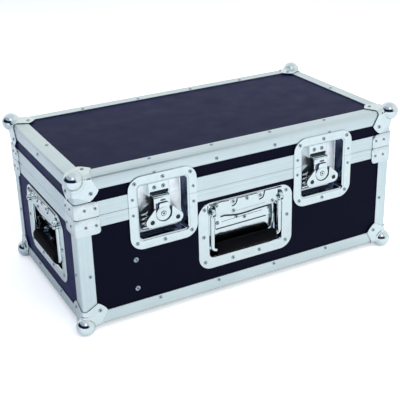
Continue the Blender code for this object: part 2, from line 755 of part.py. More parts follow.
def make_brackets(finishes, lid):
    """Make the brackets beside the seam, four on the base and four on the lid."""
    lid_top = TOP - CORNER_TIP_REACH - BRACKET_CORNER_GAP
    for place, x_sign, y_sign in corner_signs():
        frame = Matrix.Translation((x_sign * HALF_WIDTH, y_sign * HALF_DEPTH, 0.0))
        quarter = {(-1, -1): 0, (1, -1): 1, (1, 1): 2, (-1, 1): 3}[(x_sign, y_sign)]
        frame = frame @ Matrix.Rotation(quarter * math.pi / 2, 4, "Z")
        lower = bracket(BASE_BRACKET_LEG, SEAM - BASE_BRACKET_HEIGHT, SEAM - CLEARANCE)
        upper = bracket(LID_BRACKET_LEG, SEAM + CLEARANCE, lid_top)
        smooth(add("base_corner_bracket_" + place, lower, finishes["aluminium"], frame))
        smooth(add("lid_corner_bracket_" + place, upper, finishes["aluminium"], frame, lid))


# Latches: each frame has x from the latch's middle, y inwards from the front face and z up

def latch_dish(name, finishes, frame):
    """Make a whole latch dish: a flange over the rails and a deep pan."""
    opening = (LATCH_OPENING_WIDTH / 2, LATCH_OPENING_HEIGHT / 2)
    centre = (0.0, LATCH_CENTRE)
    flange = rounded_rectangle(
        LATCH_FLANGE_WIDTH / 2, LATCH_FLANGE_HEIGHT / 2, LATCH_FLANGE_RADIUS, CORNER_STEPS, centre)
    wall = PRESSING_THICKNESS
    outside = rounded_rectangle(
        opening[0] + wall, opening[1] + wall, LATCH_OPENING_RADIUS + wall, CORNER_STEPS, centre)
    inside = rounded_rectangle(*opening, LATCH_OPENING_RADIUS, CORNER_STEPS, centre)
    dish = add(name, prism(flange, "Y", FLANGE_FRONT, FLANGE_BACK), finishes["chrome"], frame)
    join(dish, prism(outside, "Y", FLANGE_FRONT + wall / 2, LATCH_RECESS + wall))
    cut(dish, prism(inside, "Y", FLANGE_FRONT - OVERRUN, LATCH_RECESS))
    return dish


def half_space(bottom, top):
    """Return a block that cuts away a dish between two heights."""
    reach = LATCH_FLANGE_WIDTH / 2 + OVERRUN
    return block((-reach, FLANGE_FRONT - OVERRUN, bottom), (reach, LATCH_RECESS + OVERRUN, top))


def make_latch_base_dish(side, finishes, frame):
    """Make the lower half of a dish, with the boss and the axle that carry the rotor."""
    dish = latch_dish("latch_" + side + "_base_dish", finishes, frame)
    cut(dish, half_space(SEAM - SEAM_GAP / 2, SEAM + LATCH_FLANGE_HEIGHT))
    boss_front = HUB_BACK + CLEARANCE
    boss_bottom = LATCH_CENTRE - LATCH_OPENING_HEIGHT / 2 + BOSS_ABOVE_OPENING
    low = (-BOSS_HALF_WIDTH, boss_front, boss_bottom)
    high = (BOSS_HALF_WIDTH, LATCH_RECESS + PRESSING_THICKNESS / 2, ROTOR_HEIGHT + BOSS_ABOVE_AXIS)
    axle = circle(AXLE_RADIUS, ROUND_STEPS, (0.0, ROTOR_HEIGHT))
    axle_front = ROTOR_FRONT + ROTOR_THICKNESS + CLEARANCE * 2
    join(dish, block(low, high), prism(axle, "Y", axle_front, boss_front + CLEARANCE))
    smooth(dish)


def make_latch_lid_dish(side, finishes, frame, lid):
    """Make the upper half of a dish, with the slotted strike that the hook pulls on."""
    dish = latch_dish("latch_" + side + "_lid_dish", finishes, frame)
    cut(dish, half_space(SEAM - LATCH_FLANGE_HEIGHT, SEAM + SEAM_GAP / 2))
    low = (-STRIKE_HALF_WIDTH, STRIKE_FRONT, SEAM + STRIKE_ABOVE_SEAM)
    strike_top = LATCH_CENTRE + LATCH_OPENING_HEIGHT / 2 - STRIKE_BELOW_OPENING
    high = (STRIKE_HALF_WIDTH, LATCH_RECESS + PRESSING_THICKNESS / 2, strike_top)
    join(dish, block(low, high))
    slot_bottom = SEAM + STRIKE_SLOT_ABOVE_SEAM
    slot_low = (-STRIKE_SLOT_HALF_WIDTH, STRIKE_FRONT - OVERRUN, slot_bottom)
    slot_high = (STRIKE_SLOT_HALF_WIDTH, STRIKE_FRONT + STRIKE_SLOT_DEPTH, slot_bottom + STRIKE_SLOT_HEIGHT)
    cut(dish, block(slot_low, slot_high))
    smooth(dish)
    hold(dish, lid)


def fold_depth():
    """Return the depth of the wing's fold axis."""
    return ROTOR_FRONT + ROTOR_THICKNESS / 2


def make_rotor(side, finishes, frame):
    """Make the rotor: a disc with a neck that holds the wing, on a hub bored for the axle."""
    disc_back = ROTOR_FRONT + ROTOR_THICKNESS
    disc = prism(circle(ROTOR_RADIUS, ROUND_STEPS * 2), "Y", ROTOR_FRONT, disc_back)
    rotor = add("latch_" + side + "_rotor", disc, finishes["chrome"], frame)
    neck = block((-ROTOR_NECK_HALF_WIDTH, ROTOR_FRONT, 0.0), (ROTOR_NECK_HALF_WIDTH, disc_back, ROTOR_NECK_TOP))
    join(rotor, neck, prism(circle(HUB_RADIUS, ROUND_STEPS), "Y", fold_depth(), HUB_BACK))
    bore = circle(AXLE_RADIUS + CLEARANCE, ROUND_STEPS)
    cut(rotor, prism(bore, "Y", disc_back + CLEARANCE, HUB_BACK + OVERRUN))
    pin_hole = circle(WING_PIN_RADIUS + CLEARANCE, ROD_STEPS, (fold_depth(), WING_FOLD_RISE))
    start = ROTOR_NECK_HALF_WIDTH - WING_PIN_BITE - CLEARANCE
    for sign in (-1, 1):
        ends = sorted((sign * start, sign * (ROTOR_RADIUS + OVERRUN)))
        cut(rotor, prism(pin_hole, "X", *ends))
    smooth(rotor)
    return rotor


def wing_outline():
    """Return the wing's outline from its fold axis: two arms, two lobes and a notch for the rotor."""
    lobe = (WING_LOBE_X, -WING_FOLD_RISE - WING_LOBE_DROP)
    notch_radius = ROTOR_RADIUS + WING_DISC_GAP
    right = [(WING_EAR_HALF_WIDTH, WING_EAR_TOP)]
    right += reversed(arc(WING_LOBE_RADIUS, -math.pi / 2, math.pi / 4, CORNER_STEPS * 2, lobe))
    left = [(-x, z) for x, z in reversed(right)]
    notch = [(-notch_radius, WING_EAR_TOP)]
    notch += arc(notch_radius, math.pi, 2 * math.pi, ROUND_STEPS, (0.0, -WING_FOLD_RISE))
    notch.append((notch_radius, WING_EAR_TOP))
    return right + left + notch


def make_wing(side, finishes, frame, rotor):
    """Make the folding wing that turns the rotor, with its two pins."""
    half = WING_THICKNESS / 2
    wing = add("latch_" + side + "_wing", prism(wing_outline(), "Y", -half, half), finishes["chrome"], frame)
    inner = ROTOR_RADIUS + WING_DISC_GAP
    for sign in (-1, 1):
        hole = circle(WING_HOLE_RADIUS, ROUND_STEPS, (sign * WING_LOBE_X, -WING_FOLD_RISE - WING_LOBE_DROP))
        cut(wing, prism(hole, "Y", -half - OVERRUN, half + OVERRUN))
        ends = sorted((sign * (ROTOR_NECK_HALF_WIDTH - WING_PIN_BITE), sign * (inner + half)))
        join(wing, prism(circle(WING_PIN_RADIUS, ROD_STEPS), "X", *ends))
    smooth(wing)
    hold(wing, rotor)


def make_hook(side, finishes, frame):
    """Make the hook plate: it slides on the hub, and its lip leans over to the strike."""
    front = ROTOR_FRONT + ROTOR_THICKNESS + CLEARANCE
    back = front + HOOK_THICKNESS
    tip = STRIKE_FRONT - CLEARANCE
    bend = ROTOR_DROP + HOOK_BEND_ABOVE_SEAM
    side_view = [
        (front, -HOOK_BELOW_AXIS), (front, bend), (tip, bend + HOOK_LIP_RISE),
        (tip, bend + HOOK_LIP_RISE - HOOK_THICKNESS), (back, bend - HOOK_THICKNESS / 2),
        (back, -HOOK_BELOW_AXIS),
    ]
    hook = add("latch_" + side + "_hook", prism(side_view, "X", -HOOK_HALF_WIDTH, HOOK_HALF_WIDTH),
               finishes["chrome"], frame)
    radius = HUB_RADIUS + CLEARANCE
    upper = arc(radius, 0.0, math.pi, ROUND_STEPS // 2, (0.0, 0.0))
    lower = arc(radius, math.pi, 2 * math.pi, ROUND_STEPS // 2, (0.0, -HOOK_TRAVEL))
    cut(hook, prism(upper + lower, "Y", front - OVERRUN, back + OVERRUN))
    smooth(hook)


def make_latches(finishes, lid):
    """Make both latches."""
    for side, centre in latch_centres():
        frame = Matrix.Translation((centre, -HALF_DEPTH, 0.0))
        rotor_frame = Matrix.Translation((centre, -HALF_DEPTH, ROTOR_HEIGHT))
        wing_frame = rotor_frame @ Matrix.Translation((0.0, fold_depth(), WING_FOLD_RISE))
        make_latch_base_dish(side, finishes, frame)
        make_latch_lid_dish(side, finishes, frame, lid)
        rotor = make_rotor(side, finishes, rotor_frame)
        make_wing(side, finishes, wing_frame, rotor)
        make_hook(side, finishes, rotor_frame)


# Handles: each frame has x to the right, y inwards from the face and z up

def make_handle_dish(side, finishes, frame):
    """Make a handle's dish with its pivot cover, two lugs and two pins."""
    half_width = HANDLE_OPENING_WIDTH / 2 + HANDLE_BORDER_SIDE
    half_height = (HANDLE_TOP - HANDLE_BOTTOM) / 2
    centre = (0.0, (HANDLE_BOTTOM + HANDLE_TOP) / 2)
    flange = rounded_rectangle(half_width, half_height, HANDLE_FLANGE_RADIUS, CORNER_STEPS, centre)
    wall = PRESSING_THICKNESS
    floor = HANDLE_FLANGE_FRONT + HANDLE_RECESS
    plate = prism(flange, "Y", HANDLE_FLANGE_FRONT, HANDLE_FLANGE_BACK)
    dish = add("handle_" + side + "_dish", plate, finishes["chrome"], frame)
    join(dish, prism(handle_opening(wall), "Y", HANDLE_FLANGE_FRONT + wall / 2, floor + wall))
    cut(dish, prism(handle_opening(0.0), "Y", HANDLE_FLANGE_FRONT - OVERRUN, floor))
    join(dish, handle_cover())
    pin_end = BAIL_HALF_WIDTH + BAIL_EYE_WIDTH / 4
    pin = circle(BAIL_PIN_RADIUS, ROUND_STEPS, (BAIL_AXIS_DEPTH, BAIL_AXIS_HEIGHT))
    for sign in (-1, 1):
        ends = sorted((sign * (COVER_HALF_WIDTH - LUG_WIDTH), sign * COVER_HALF_WIDTH))
        low = (ends[0], HANDLE_FLANGE_FRONT - COVER_THICKNESS / 2, BAIL_AXIS_HEIGHT - LUG_HALF_HEIGHT)
        high = (ends[1], BAIL_AXIS_DEPTH + LUG_DEPTH, BAIL_AXIS_HEIGHT + LUG_HALF_HEIGHT)
        pin_ends = sorted((sign * (COVER_HALF_WIDTH - LUG_WIDTH / 2), sign * pin_end))
        join(dish, block(low, high), prism(pin, "X", *pin_ends))
    smooth(dish)


def handle_cover():
    """Return the plate riveted over the top of the opening, which covers the pivot."""
    front = HANDLE_FLANGE_FRONT - COVER_THICKNESS
    back = HANDLE_FLANGE_FRONT + PRESSING_THICKNESS / 2
    low = (-COVER_HALF_WIDTH, front, OPENING_TOP - COVER_BELOW_OPENING_TOP)
    high = (COVER_HALF_WIDTH, back, OPENING_TOP + COVER_ABOVE_OPENING_TOP)
    return block(low, high)


def bail_path():
    """Return the rod's path from its pivot: down, across and up again."""
    turn = BAIL_BEND_RADIUS
    inner = BAIL_HALF_WIDTH - turn
    left_bend = arc(turn, math.pi, 1.5 * math.pi, BEND_STEPS, (-inner, turn - BAIL_DROP))
    half = [(-BAIL_HALF_WIDTH, -BAIL_EYE_RADIUS + BAIL_ROD_RADIUS)] + left_bend
    whole = half + [(-x, z) for x, z in reversed(half)]
    return [Vector((x, 0.0, z)) for x, z in whole]


def make_bail(side, finishes, frame):
    """Make a handle's steel bail, a bent rod with a bored eye at each end."""
    bail = add("handle_" + side + "_bail", tube(bail_path(), BAIL_ROD_RADIUS, ROD_STEPS), finishes["chrome"], frame)
    half = BAIL_EYE_WIDTH / 2
    for sign in (-1, 1):
        middle = sign * BAIL_HALF_WIDTH
        join(bail, prism(circle(BAIL_EYE_RADIUS, ROUND_STEPS), "X", middle - half, middle + half))
        bore = circle(BAIL_PIN_RADIUS + CLEARANCE, ROUND_STEPS)
        cut(bail, prism(bore, "X", middle - half - OVERRUN, middle + half + OVERRUN))
    smooth(bail)
    return bail


def make_grip(side, finishes, frame, bail):
    """Make the rubber grip moulded round the lower run of a bail."""
    centre = (GRIP_SET_BACK, -BAIL_DROP)
    squash = GRIP_DEPTH / GRIP_HEIGHT
    inner_end = GRIP_HALF_LENGTH - GRIP_END_LENGTH
    stations = (
        (-GRIP_HALF_LENGTH, GRIP_END_TAPER_SHARE), (-inner_end, 1.0),
        (inner_end, 1.0), (GRIP_HALF_LENGTH, GRIP_END_TAPER_SHARE),
    )
    loops = []
    for x, share in stations:
        oval = circle(share * GRIP_HEIGHT / 2, ROUND_STEPS, centre, squash)
        loops.append([(x, depth, height) for depth, height in oval])
    grip = add("handle_" + side + "_grip", skin(loops), finishes["rubber"], frame)
    bore = circle(BAIL_ROD_RADIUS + CLEARANCE, ROD_STEPS, (0.0, -BAIL_DROP))
    cut(grip, prism(bore, "X", -GRIP_HALF_LENGTH - OVERRUN, GRIP_HALF_LENGTH + OVERRUN))
    smooth(grip)
    hold(grip, bail)


def make_handles(finishes):
    """Make the three handles."""
    for side, frame in handle_frames().items():
        make_handle_dish(side, finishes, frame)
        pivot = frame @ Matrix.Translation((0.0, BAIL_AXIS_DEPTH, BAIL_AXIS_HEIGHT))
        bail = make_bail(side, finishes, pivot)
        make_grip(side, finishes, pivot, bail)


# Hinge

def knuckle_spans(first):
    """Return the ends of every second knuckle, from the first one named."""
    spans = []
    for index in range(first, HINGE_KNUCKLES, 2):
        left = -HINGE_END + index * HINGE_PITCH
        spans.append((left, left + HINGE_KNUCKLE_LENGTH))
    return spans


def make_leaf(name, first, direction, finishes):
    """Make a leaf against the back, below or above the seam, with its own knuckles."""
    front = HALF_DEPTH + CLEARANCE
    back = front + HINGE_LEAF_THICKNESS
    heights = sorted((SEAM + direction * HINGE_LEAF_START, SEAM + direction * HINGE_LEAF_HEIGHT))
    leaf = add(name, block((-HINGE_END, front, heights[0]), (HINGE_END, back, heights[1])), finishes["zinc"])
    fingers = sorted((SEAM, SEAM + direction * (HINGE_LEAF_START + OVERRUN)))
    for left, right in knuckle_spans(first):
        join(leaf, block((left, front, fingers[0]), (right, back, fingers[1])))
        barrel = circle(HINGE_KNUCKLE_RADIUS, ROUND_STEPS, (HINGE_AXIS_Y, SEAM))
        join(leaf, prism(barrel, "X", left, right))
    return leaf


def make_hinge(finishes, lid):
    """Make the continuous hinge: the base leaf keeps the pin, and the lid leaf is bored for it."""
    base_leaf = make_leaf("hinge_base_leaf", 0, -1, finishes)
    pin = circle(HINGE_PIN_RADIUS, ROUND_STEPS, (HINGE_AXIS_Y, SEAM))
    join(base_leaf, prism(pin, "X", -HINGE_END, HINGE_END))
    smooth(base_leaf)
    lid_leaf = make_leaf("hinge_lid_leaf", 1, 1, finishes)
    bore = circle(HINGE_PIN_RADIUS + CLEARANCE, ROUND_STEPS, (HINGE_AXIS_Y, SEAM))
    cut(lid_leaf, prism(bore, "X", -HINGE_END, HINGE_END))
    smooth(lid_leaf)
    hold(lid_leaf, lid)


def main():
    """Empty the scene and build the case."""
    for item in list(bpy.data.objects):
        bpy.data.objects.remove(item, do_unlink=True)
    finishes = make_finishes()
    lid = add_pivot("lid_pivot", Matrix.Translation((0.0, HINGE_AXIS_Y, SEAM)))
    make_base_frame(finishes)
    make_base_panels(finishes)
    make_divider(finishes)
    make_lid_frame(finishes, lid)
    make_lid_panels(finishes, lid)
    make_ball_corners(finishes, lid)
    make_brackets(finishes, lid)
    make_latches(finishes, lid)
    make_handles(finishes)
    make_hinge(finishes, lid)


main()
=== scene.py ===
"""Looks of the flight case: finishes, rivets, pressings, lamps and camera.

Metres, +Z up. The front, with the two turn latches, faces -Y, and the case stands on z = 0.
A place on a wall is (u, depth, v): u to the right of someone who looks at the wall, v up.
Depths count inwards from the face of the aluminium, so a negative depth stands proud of it.
Tables of small sizes are written in millimetres, through mm().
"""
import json
import math

import bmesh
import bpy
from mathutils import Matrix, Vector


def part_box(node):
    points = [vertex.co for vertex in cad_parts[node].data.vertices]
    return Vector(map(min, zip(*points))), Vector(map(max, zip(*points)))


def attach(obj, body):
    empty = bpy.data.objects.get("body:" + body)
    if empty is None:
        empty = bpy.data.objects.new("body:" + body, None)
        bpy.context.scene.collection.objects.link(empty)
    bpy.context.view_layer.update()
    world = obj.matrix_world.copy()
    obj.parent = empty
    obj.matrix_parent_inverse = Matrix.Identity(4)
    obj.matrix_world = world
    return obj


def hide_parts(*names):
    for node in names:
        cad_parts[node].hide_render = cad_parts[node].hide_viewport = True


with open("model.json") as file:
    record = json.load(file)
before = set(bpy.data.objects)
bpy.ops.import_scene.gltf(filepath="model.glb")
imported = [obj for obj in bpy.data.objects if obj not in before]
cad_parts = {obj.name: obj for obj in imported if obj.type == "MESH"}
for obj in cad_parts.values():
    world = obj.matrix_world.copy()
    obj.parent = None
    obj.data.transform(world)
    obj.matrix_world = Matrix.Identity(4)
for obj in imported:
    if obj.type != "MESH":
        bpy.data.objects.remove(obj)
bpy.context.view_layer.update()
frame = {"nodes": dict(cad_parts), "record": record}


def mm(sizes):
    """Return millimetres, or rows of them, in metres."""
    return tuple(mm(size) for size in sizes) if isinstance(sizes, tuple) else sizes / 1000


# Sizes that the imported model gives
BASE_LOW, BASE_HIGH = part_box("base_edge_frame")
HALF_WIDTH = BASE_HIGH.x
HALF_DEPTH = BASE_HIGH.y
GROUND = BASE_LOW.z
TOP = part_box("lid_edge_frame")[1].z
HALF_SEAM = 0.00015
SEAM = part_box("base_closing_rail_front")[1].z + HALF_SEAM

# Where the camera stands, the way it looks, and its focal length in pixels of a 400-pixel frame
CAMERA_PLACE = (-0.5815, -1.1008, 0.6647)
CAMERA_FORWARD = (0.42570, 0.81609, -0.39085)
CAMERA_RIGHT = (0.88096, -0.47243, -0.02691)
CAMERA_DOWN = (-0.20662, -0.33287, -0.92006)
FRAME_PIXELS = 400.0
FOCAL_PIXELS = 855.47
AXIS_PIXEL = (197.44, 173.64)
SENSOR = 0.036


# Materials

class Net:
    """Short ways to add nodes to a tree."""

    def __init__(self, tree):
        self.nodes = tree.nodes
        self.links = tree.links

    def node(self, kind, inputs=(), **settings):
        """Add a node, and link or set its inputs."""
        made = self.nodes.new(kind)
        for key, value in settings.items():
            setattr(made, key, value)
        for key, value in dict(inputs).items():
            self.feed(made.inputs[key], value)
        return made

    def feed(self, socket, value):
        """Link a socket, or set a number or colour, on an input."""
        if isinstance(value, bpy.types.NodeSocket):
            self.links.new(value, socket)
        else:
            socket.default_value = value

    def math(self, operation, *values):
        return self.node("ShaderNodeMath", enumerate(values), operation=operation).outputs[0]

    def ramp(self, factor, stops):
        made = self.node("ShaderNodeValToRGB", {"Fac": factor})
        elements = made.color_ramp.elements
        while len(elements) < len(stops):
            elements.new(0.5)
        for element, (place, colour) in zip(elements, stops):
            element.position = place
            element.color = (*colour, 1.0)
        return made.outputs["Color"]

    def grey_ramp(self, factor, stops):
        return self.ramp(factor, [(place, (value, value, value)) for place, value in stops])

    def noise(self, vector, scale, detail=4.0, roughness=0.55, distortion=0.0):
        inputs = {
            "Vector": vector, "Scale": scale, "Detail": detail, "Roughness": roughness,
            "Distortion": distortion}
        return self.node("ShaderNodeTexNoise", inputs).outputs["Fac"]

    def streaks(self, across, scale):
        """Return a noise that changes along one coordinate only."""
        inputs = {"W": across, "Scale": scale, "Detail": 3.0, "Roughness": 0.6}
        return self.node("ShaderNodeTexNoise", inputs, noise_dimensions="1D").outputs["Fac"]

    def mapping(self, vector, scale, rotation=(0, 0, 0)):
        inputs = {"Vector": vector, "Scale": scale, "Rotation": rotation}
        return self.node("ShaderNodeMapping", inputs).outputs[0]

    def mix(self, factor, first, second):
        """Mix two colours."""
        ends = [(*colour, 1.0) if isinstance(colour, tuple) else colour for colour in (first, second)]
        return self.node("ShaderNodeMix", {0: factor, 6: ends[0], 7: ends[1]}, data_type="RGBA").outputs[2]

    def choose(self, factor, first, second):
        """Mix two shaders."""
        return self.node("ShaderNodeMixShader", {0: factor, 1: first.outputs[0], 2: second.outputs[0]})

    def bump(self, height, strength, distance):
        inputs = {"Height": height, "Strength": strength, "Distance": distance}
        return self.node("ShaderNodeBump", inputs).outputs["Normal"]

    def coordinates(self, kind="Object"):
        return self.node("ShaderNodeTexCoord").outputs[kind]

    def parts(self, vector):
        """Return the three parts of a vector."""
        return self.node("ShaderNodeSeparateXYZ", {0: vector}).outputs

    def pick(self, facing, first, second):
        """Return the first value where a part of the normal is large, and the second elsewhere."""
        flat = self.math("GREATER_THAN", self.math("ABSOLUTE", facing), FLAT_ENOUGH)
        rest = self.math("SUBTRACT", 1.0, flat)
        return self.math("ADD", self.math("MULTIPLY", flat, first), self.math("MULTIPLY", rest, second))

    def along(self, parts, way):
        """Return how far a direction, given by its parts, points along a way."""
        total = 0.0
        for part, share in zip(parts, way):
            total = self.math("ADD", total, self.math("MULTIPLY", part, share))
        return total


# How much of a normal counts as facing one way
FLAT_ENOUGH = 0.7


def new_material(name):
    """Return a node material, its Principled shader, its net and its coordinates."""
    made = bpy.data.materials.new(name)
    made.use_nodes = True
    net = Net(made.node_tree)
    return made, made.node_tree.nodes["Principled BSDF"], net, net.coordinates()


def dress(net, shader, colour, roughness, height, strength, distance, fixed=()):
    """Feed a shader its colour, its roughness, a bump from a height, and the values that don't vary."""
    net.feed(shader.inputs["Base Color"], colour)
    net.feed(shader.inputs["Roughness"], roughness)
    net.feed(shader.inputs["Normal"], net.bump(height, strength, distance))
    for key, value in dict(fixed).items():
        shader.inputs[key].default_value = value


def make_laminate():
    """Black laminate: a fine pebble grain, faint clouds and a few light rub marks, bluish at a low angle."""
    made, shader, net, where = new_material("black_laminate_skin")
    cloud = net.noise(where, 9.0, 5.0)
    colour = net.ramp(cloud, [(0.3, (0.0030, 0.0034, 0.0080)), (0.7, (0.0042, 0.0046, 0.0100))])
    rubs = net.noise(net.mapping(where, (14.0, 60.0, 60.0), (0.0, 0.0, 0.4)), 6.0, 6.0, 0.7)
    rub = net.math("MULTIPLY", net.grey_ramp(rubs, [(0.66, 0.0), (0.78, 1.0)]), 0.2)
    rough = net.grey_ramp(net.noise(where, 30.0, 6.0), [(0.3, 0.40), (0.7, 0.50)])
    grain = net.noise(where, 900.0, 2.0)
    dress(net, shader, net.mix(rub, colour, (0.02, 0.022, 0.04)), rough, grain, 0.25, 0.0002, {
        "IOR": 1.14, "Specular Tint": (0.42, 0.48, 1.0, 1.0), "Sheen Weight": 0.2, "Sheen Roughness": 0.4,
        "Sheen Tint": (0.10, 0.16, 1.0, 1.0)})
    return made


def make_aluminium(name, upright):
    """Satin anodised extrusion: die lines along each length, soft clouds and a few rubbed spots."""
    made, shader, net, where = new_material(name)
    x, y, z = net.parts(where)
    facing = net.parts(net.coordinates("Normal"))
    from_end = net.math("SUBTRACT", HALF_WIDTH, net.math("ABSOLUTE", x))
    from_front = net.math("SUBTRACT", HALF_DEPTH, net.math("ABSOLUTE", y))
    if upright:
        across = net.pick(facing["X"], from_front, from_end)
    else:
        across = net.pick(facing["Z"], net.math("MINIMUM", from_end, from_front), z)
    across = net.math("ADD", across, net.math("MULTIPLY", net.noise(where, 6.0, 2.0), 0.0012))
    broad = net.streaks(across, 420.0)
    fine = net.streaks(across, 2600.0)
    cloud = net.noise(where, 12.0, 4.0)
    tone = net.math("ADD", net.math("MULTIPLY", broad, 0.5), net.math("MULTIPLY", cloud, 0.5))
    colour = net.ramp(tone, [
        (0.32, (0.530, 0.625, 0.630)), (0.5, (0.590, 0.685, 0.690)), (0.68, (0.650, 0.740, 0.745))])
    rubs = net.noise(where, 70.0, 6.0, 0.65)
    rub = net.math("MULTIPLY", net.grey_ramp(rubs, [(0.62, 0.0), (0.74, 1.0)]), 0.18)
    rough = net.grey_ramp(fine, [(0.3, 0.30), (0.7, 0.42)])
    relief = net.math("ADD", net.math("MULTIPLY", broad, 0.7), net.math("MULTIPLY", fine, 0.3))
    dress(net, shader, net.mix(rub, colour, (0.42, 0.50, 0.54)), rough, relief, 0.30, 0.00035,
          {"Metallic": 1.0})
    return made


def make_chrome(name="bright_chrome", colour=(0.65, 0.74, 0.74), roughness=(0.08, 0.16)):
    """Bright plate over pressed steel: slow waves, fine wipe marks and a little haze."""
    made, shader, net, where = new_material(name)
    haze = net.noise(where, 120.0, 5.0)
    tint = net.ramp(haze, [(0.3, colour), (0.75, tuple(c * 0.93 for c in colour))])
    rough = net.grey_ramp(haze, [(0.3, roughness[0]), (0.8, roughness[1])])
    dress(net, shader, tint, rough, net.noise(where, 45.0, 2.0), 0.35, 0.0012, {"Metallic": 1.0})
    return made


def make_rubber():
    """Black grip rubber: fine pebble and dust in the low spots."""
    made, shader, net, where = new_material("grip_rubber")
    dust = net.noise(where, 60.0, 5.0)
    colour = net.ramp(dust, [(0.35, (0.0025, 0.0025, 0.0035)), (0.75, (0.005, 0.005, 0.006))])
    rough = net.grey_ramp(dust, [(0.3, 0.55), (0.7, 0.7)])
    dress(net, shader, colour, rough, net.noise(where, 700.0, 3.0), 0.4, 0.0003, {"IOR": 1.12})
    return made


def make_plywood():
    """Bare birch plywood."""
    made, shader, net, where = new_material("birch_plywood")
    rings = net.noise(net.mapping(where, (30.0, 6.0, 60.0)), 3.0, 6.0, 0.6, 0.6)
    colour = net.ramp(rings, [(0.3, (0.42, 0.28, 0.15)), (0.7, (0.58, 0.42, 0.25))])
    dress(net, shader, colour, net.grey_ramp(rings, [(0.3, 0.6), (0.7, 0.75)]), rings, 0.3, 0.0004)
    return made


def make_black_shade_material():
    """Painted shade, near black with a faint mottle: the hollow stem of a blind rivet, and the gaps, slits,
    pockets and backs that hold no light.
    """
    made, shader, net, where = new_material("black_painted_shade")
    mottle = net.noise(where, 400.0, 4.0)
    colour = net.ramp(mottle, [(0.3, (0.012, 0.014, 0.022)), (0.7, (0.035, 0.038, 0.05))])
    rough = net.grey_ramp(mottle, [(0.3, 0.4), (0.7, 0.6)])
    dress(net, shader, colour, rough, mottle, 0.3, 0.0002, {"Metallic": 0.4})
    return made


finishes = {
    "black_laminate": make_laminate(),
    "edge_aluminium": make_aluminium("extrusion_lengthwise", False),
    "chromed_steel": make_chrome(),
    "zinc_steel": make_chrome("zinc_plate", (0.62, 0.66, 0.70), (0.28, 0.42)),
    "black_rubber": make_rubber(),
    "plywood": make_plywood(),
}

UPRIGHT = make_aluminium("extrusion_upright", True)
CHROME = finishes["chromed_steel"]
# The rivets' and screws' own duller metal; on the pressings it also draws thin lines of painted shade
RIVET_AND_SHADE_LINE_METAL = make_chrome("rivet_and_shade_line_metal", (0.40, 0.48, 0.51), (0.2, 0.32))
# Painted shade: a dark blue copy of the bright chrome, for the walls and deep floors of the pressed dishes,
# the hook's oval and the gap beside the rotor's neck
SHADED_CHROME = make_chrome("chrome_in_painted_shade", (0.09, 0.11, 0.19), (0.12, 0.24))
PAINTED_SHADE = make_black_shade_material()
SATIN = make_chrome("satin_floor", (0.90, 0.95, 0.97), (0.34, 0.46))
BRACKET_METAL = make_chrome("bracket_metal", (0.66, 0.74, 0.74), (0.22, 0.34))

# The materials of a pressing and their numbers, and the number of the second one of other pieces. The walls,
# the dark inlays and the thin lines are painted shade, and so is each piece's second material
PRESSED = (CHROME, SHADED_CHROME, SATIN, PAINTED_SHADE, RIVET_AND_SHADE_LINE_METAL)
FACE, WALL, FLOOR, DARK, LINE_SHADE = range(5)
SHADE_INDEX = 1

# Welding, shading and edges of the CAD nodes, in metres and degrees
WELD = 0.00001
SMOOTH_ANGLE = 36.0
BEVEL_WIDTH = 0.0003
BEVEL_ANGLE = 40.0


def make_smoothing():
    """Return a node group that welds a mesh and shades its gentle bends smooth."""
    group = bpy.data.node_groups.new("weld_and_shade", "GeometryNodeTree")
    for way in ("INPUT", "OUTPUT"):
        group.interface.new_socket("Geometry", in_out=way, socket_type="NodeSocketGeometry")
    net = Net(group)
    start = net.node("NodeGroupInput").outputs[0]
    weld = net.node("GeometryNodeMergeByDistance", {"Geometry": start, "Distance": WELD})
    soft = net.node("GeometryNodeSetShadeSmooth", {"Geometry": weld.outputs[0]}, domain="FACE")
    bend = net.node("GeometryNodeInputMeshEdgeAngle").outputs[0]
    steep = net.node(
        "FunctionNodeCompare", {0: bend, 1: math.radians(SMOOTH_ANGLE)}, data_type="FLOAT",
        operation="GREATER_THAN")
    inputs = {"Geometry": soft.outputs[0], "Selection": steep.outputs[0], "Shade Smooth": False}
    hard = net.node("GeometryNodeSetShadeSmooth", inputs, domain="EDGE")
    net.node("NodeGroupOutput", {0: hard.outputs[0]})
    return group


SMOOTHING = make_smoothing()
for part in frame["record"]["subparts"]:
    node = frame["nodes"][part["node"]]
    material = UPRIGHT if "_post_" in part["node"] else finishes[part["material_slot"]]
    node.data.materials.clear()
    node.data.materials.append(material)
    smoothing = node.modifiers.new("shade", "NODES")
    smoothing.node_group = SMOOTHING
    if part["material_slot"] in ("edge_aluminium", "zinc_steel"):
        bevel = node.modifiers.new("bevel", "BEVEL")
        bevel.width = BEVEL_WIDTH
        bevel.segments = 2
        bevel.limit_method = "ANGLE"
        bevel.angle_limit = math.radians(BEVEL_ANGLE)
        bevel.harden_normals = True


# Shapes

# Rounding of most edges, of thin sheet, and of the painted shade in pockets, gaps and cuts, and the thickness
# of a cut's inlay of painted shade
ROUNDING = 0.0006
THIN_ROUNDING = 0.0003
SHARP_ROUNDING = 0.0002
GAP_ROUNDING = 0.0001
CUT_ROUNDING = 0.00005
CUT_THICKNESS = 0.0006
# The steepest bend, in degrees, that is shaded smooth
SMOOTH_BEND = 38.0


def arc(centre, radius, start, end, steps):
    """Return points on an arc between two angles in degrees."""
    points = []
    for step in range(steps + 1):
        angle = math.radians(start + (end - start) * step / steps)
        points.append((centre[0] + radius * math.cos(angle), centre[1] + radius * math.sin(angle)))
    return points


def rounded_rectangle(half_width, half_height, radius, centre=(0.0, 0.0), steps=8):
    """Return an outline that runs anticlockwise from its right side."""
    points = []
    for index, (side, rise) in enumerate(((1, 1), (-1, 1), (-1, -1), (1, -1))):
        middle = (centre[0] + side * (half_width - radius), centre[1] + rise * (half_height - radius))
        points += arc(middle, radius, index * 90.0, index * 90.0 + 90.0, steps)
    return points


def circle(radius, centre=(0.0, 0.0), steps=24):
    """Return a round outline."""
    return arc(centre, radius, 0.0, 360.0 - 360.0 / steps, steps - 1)


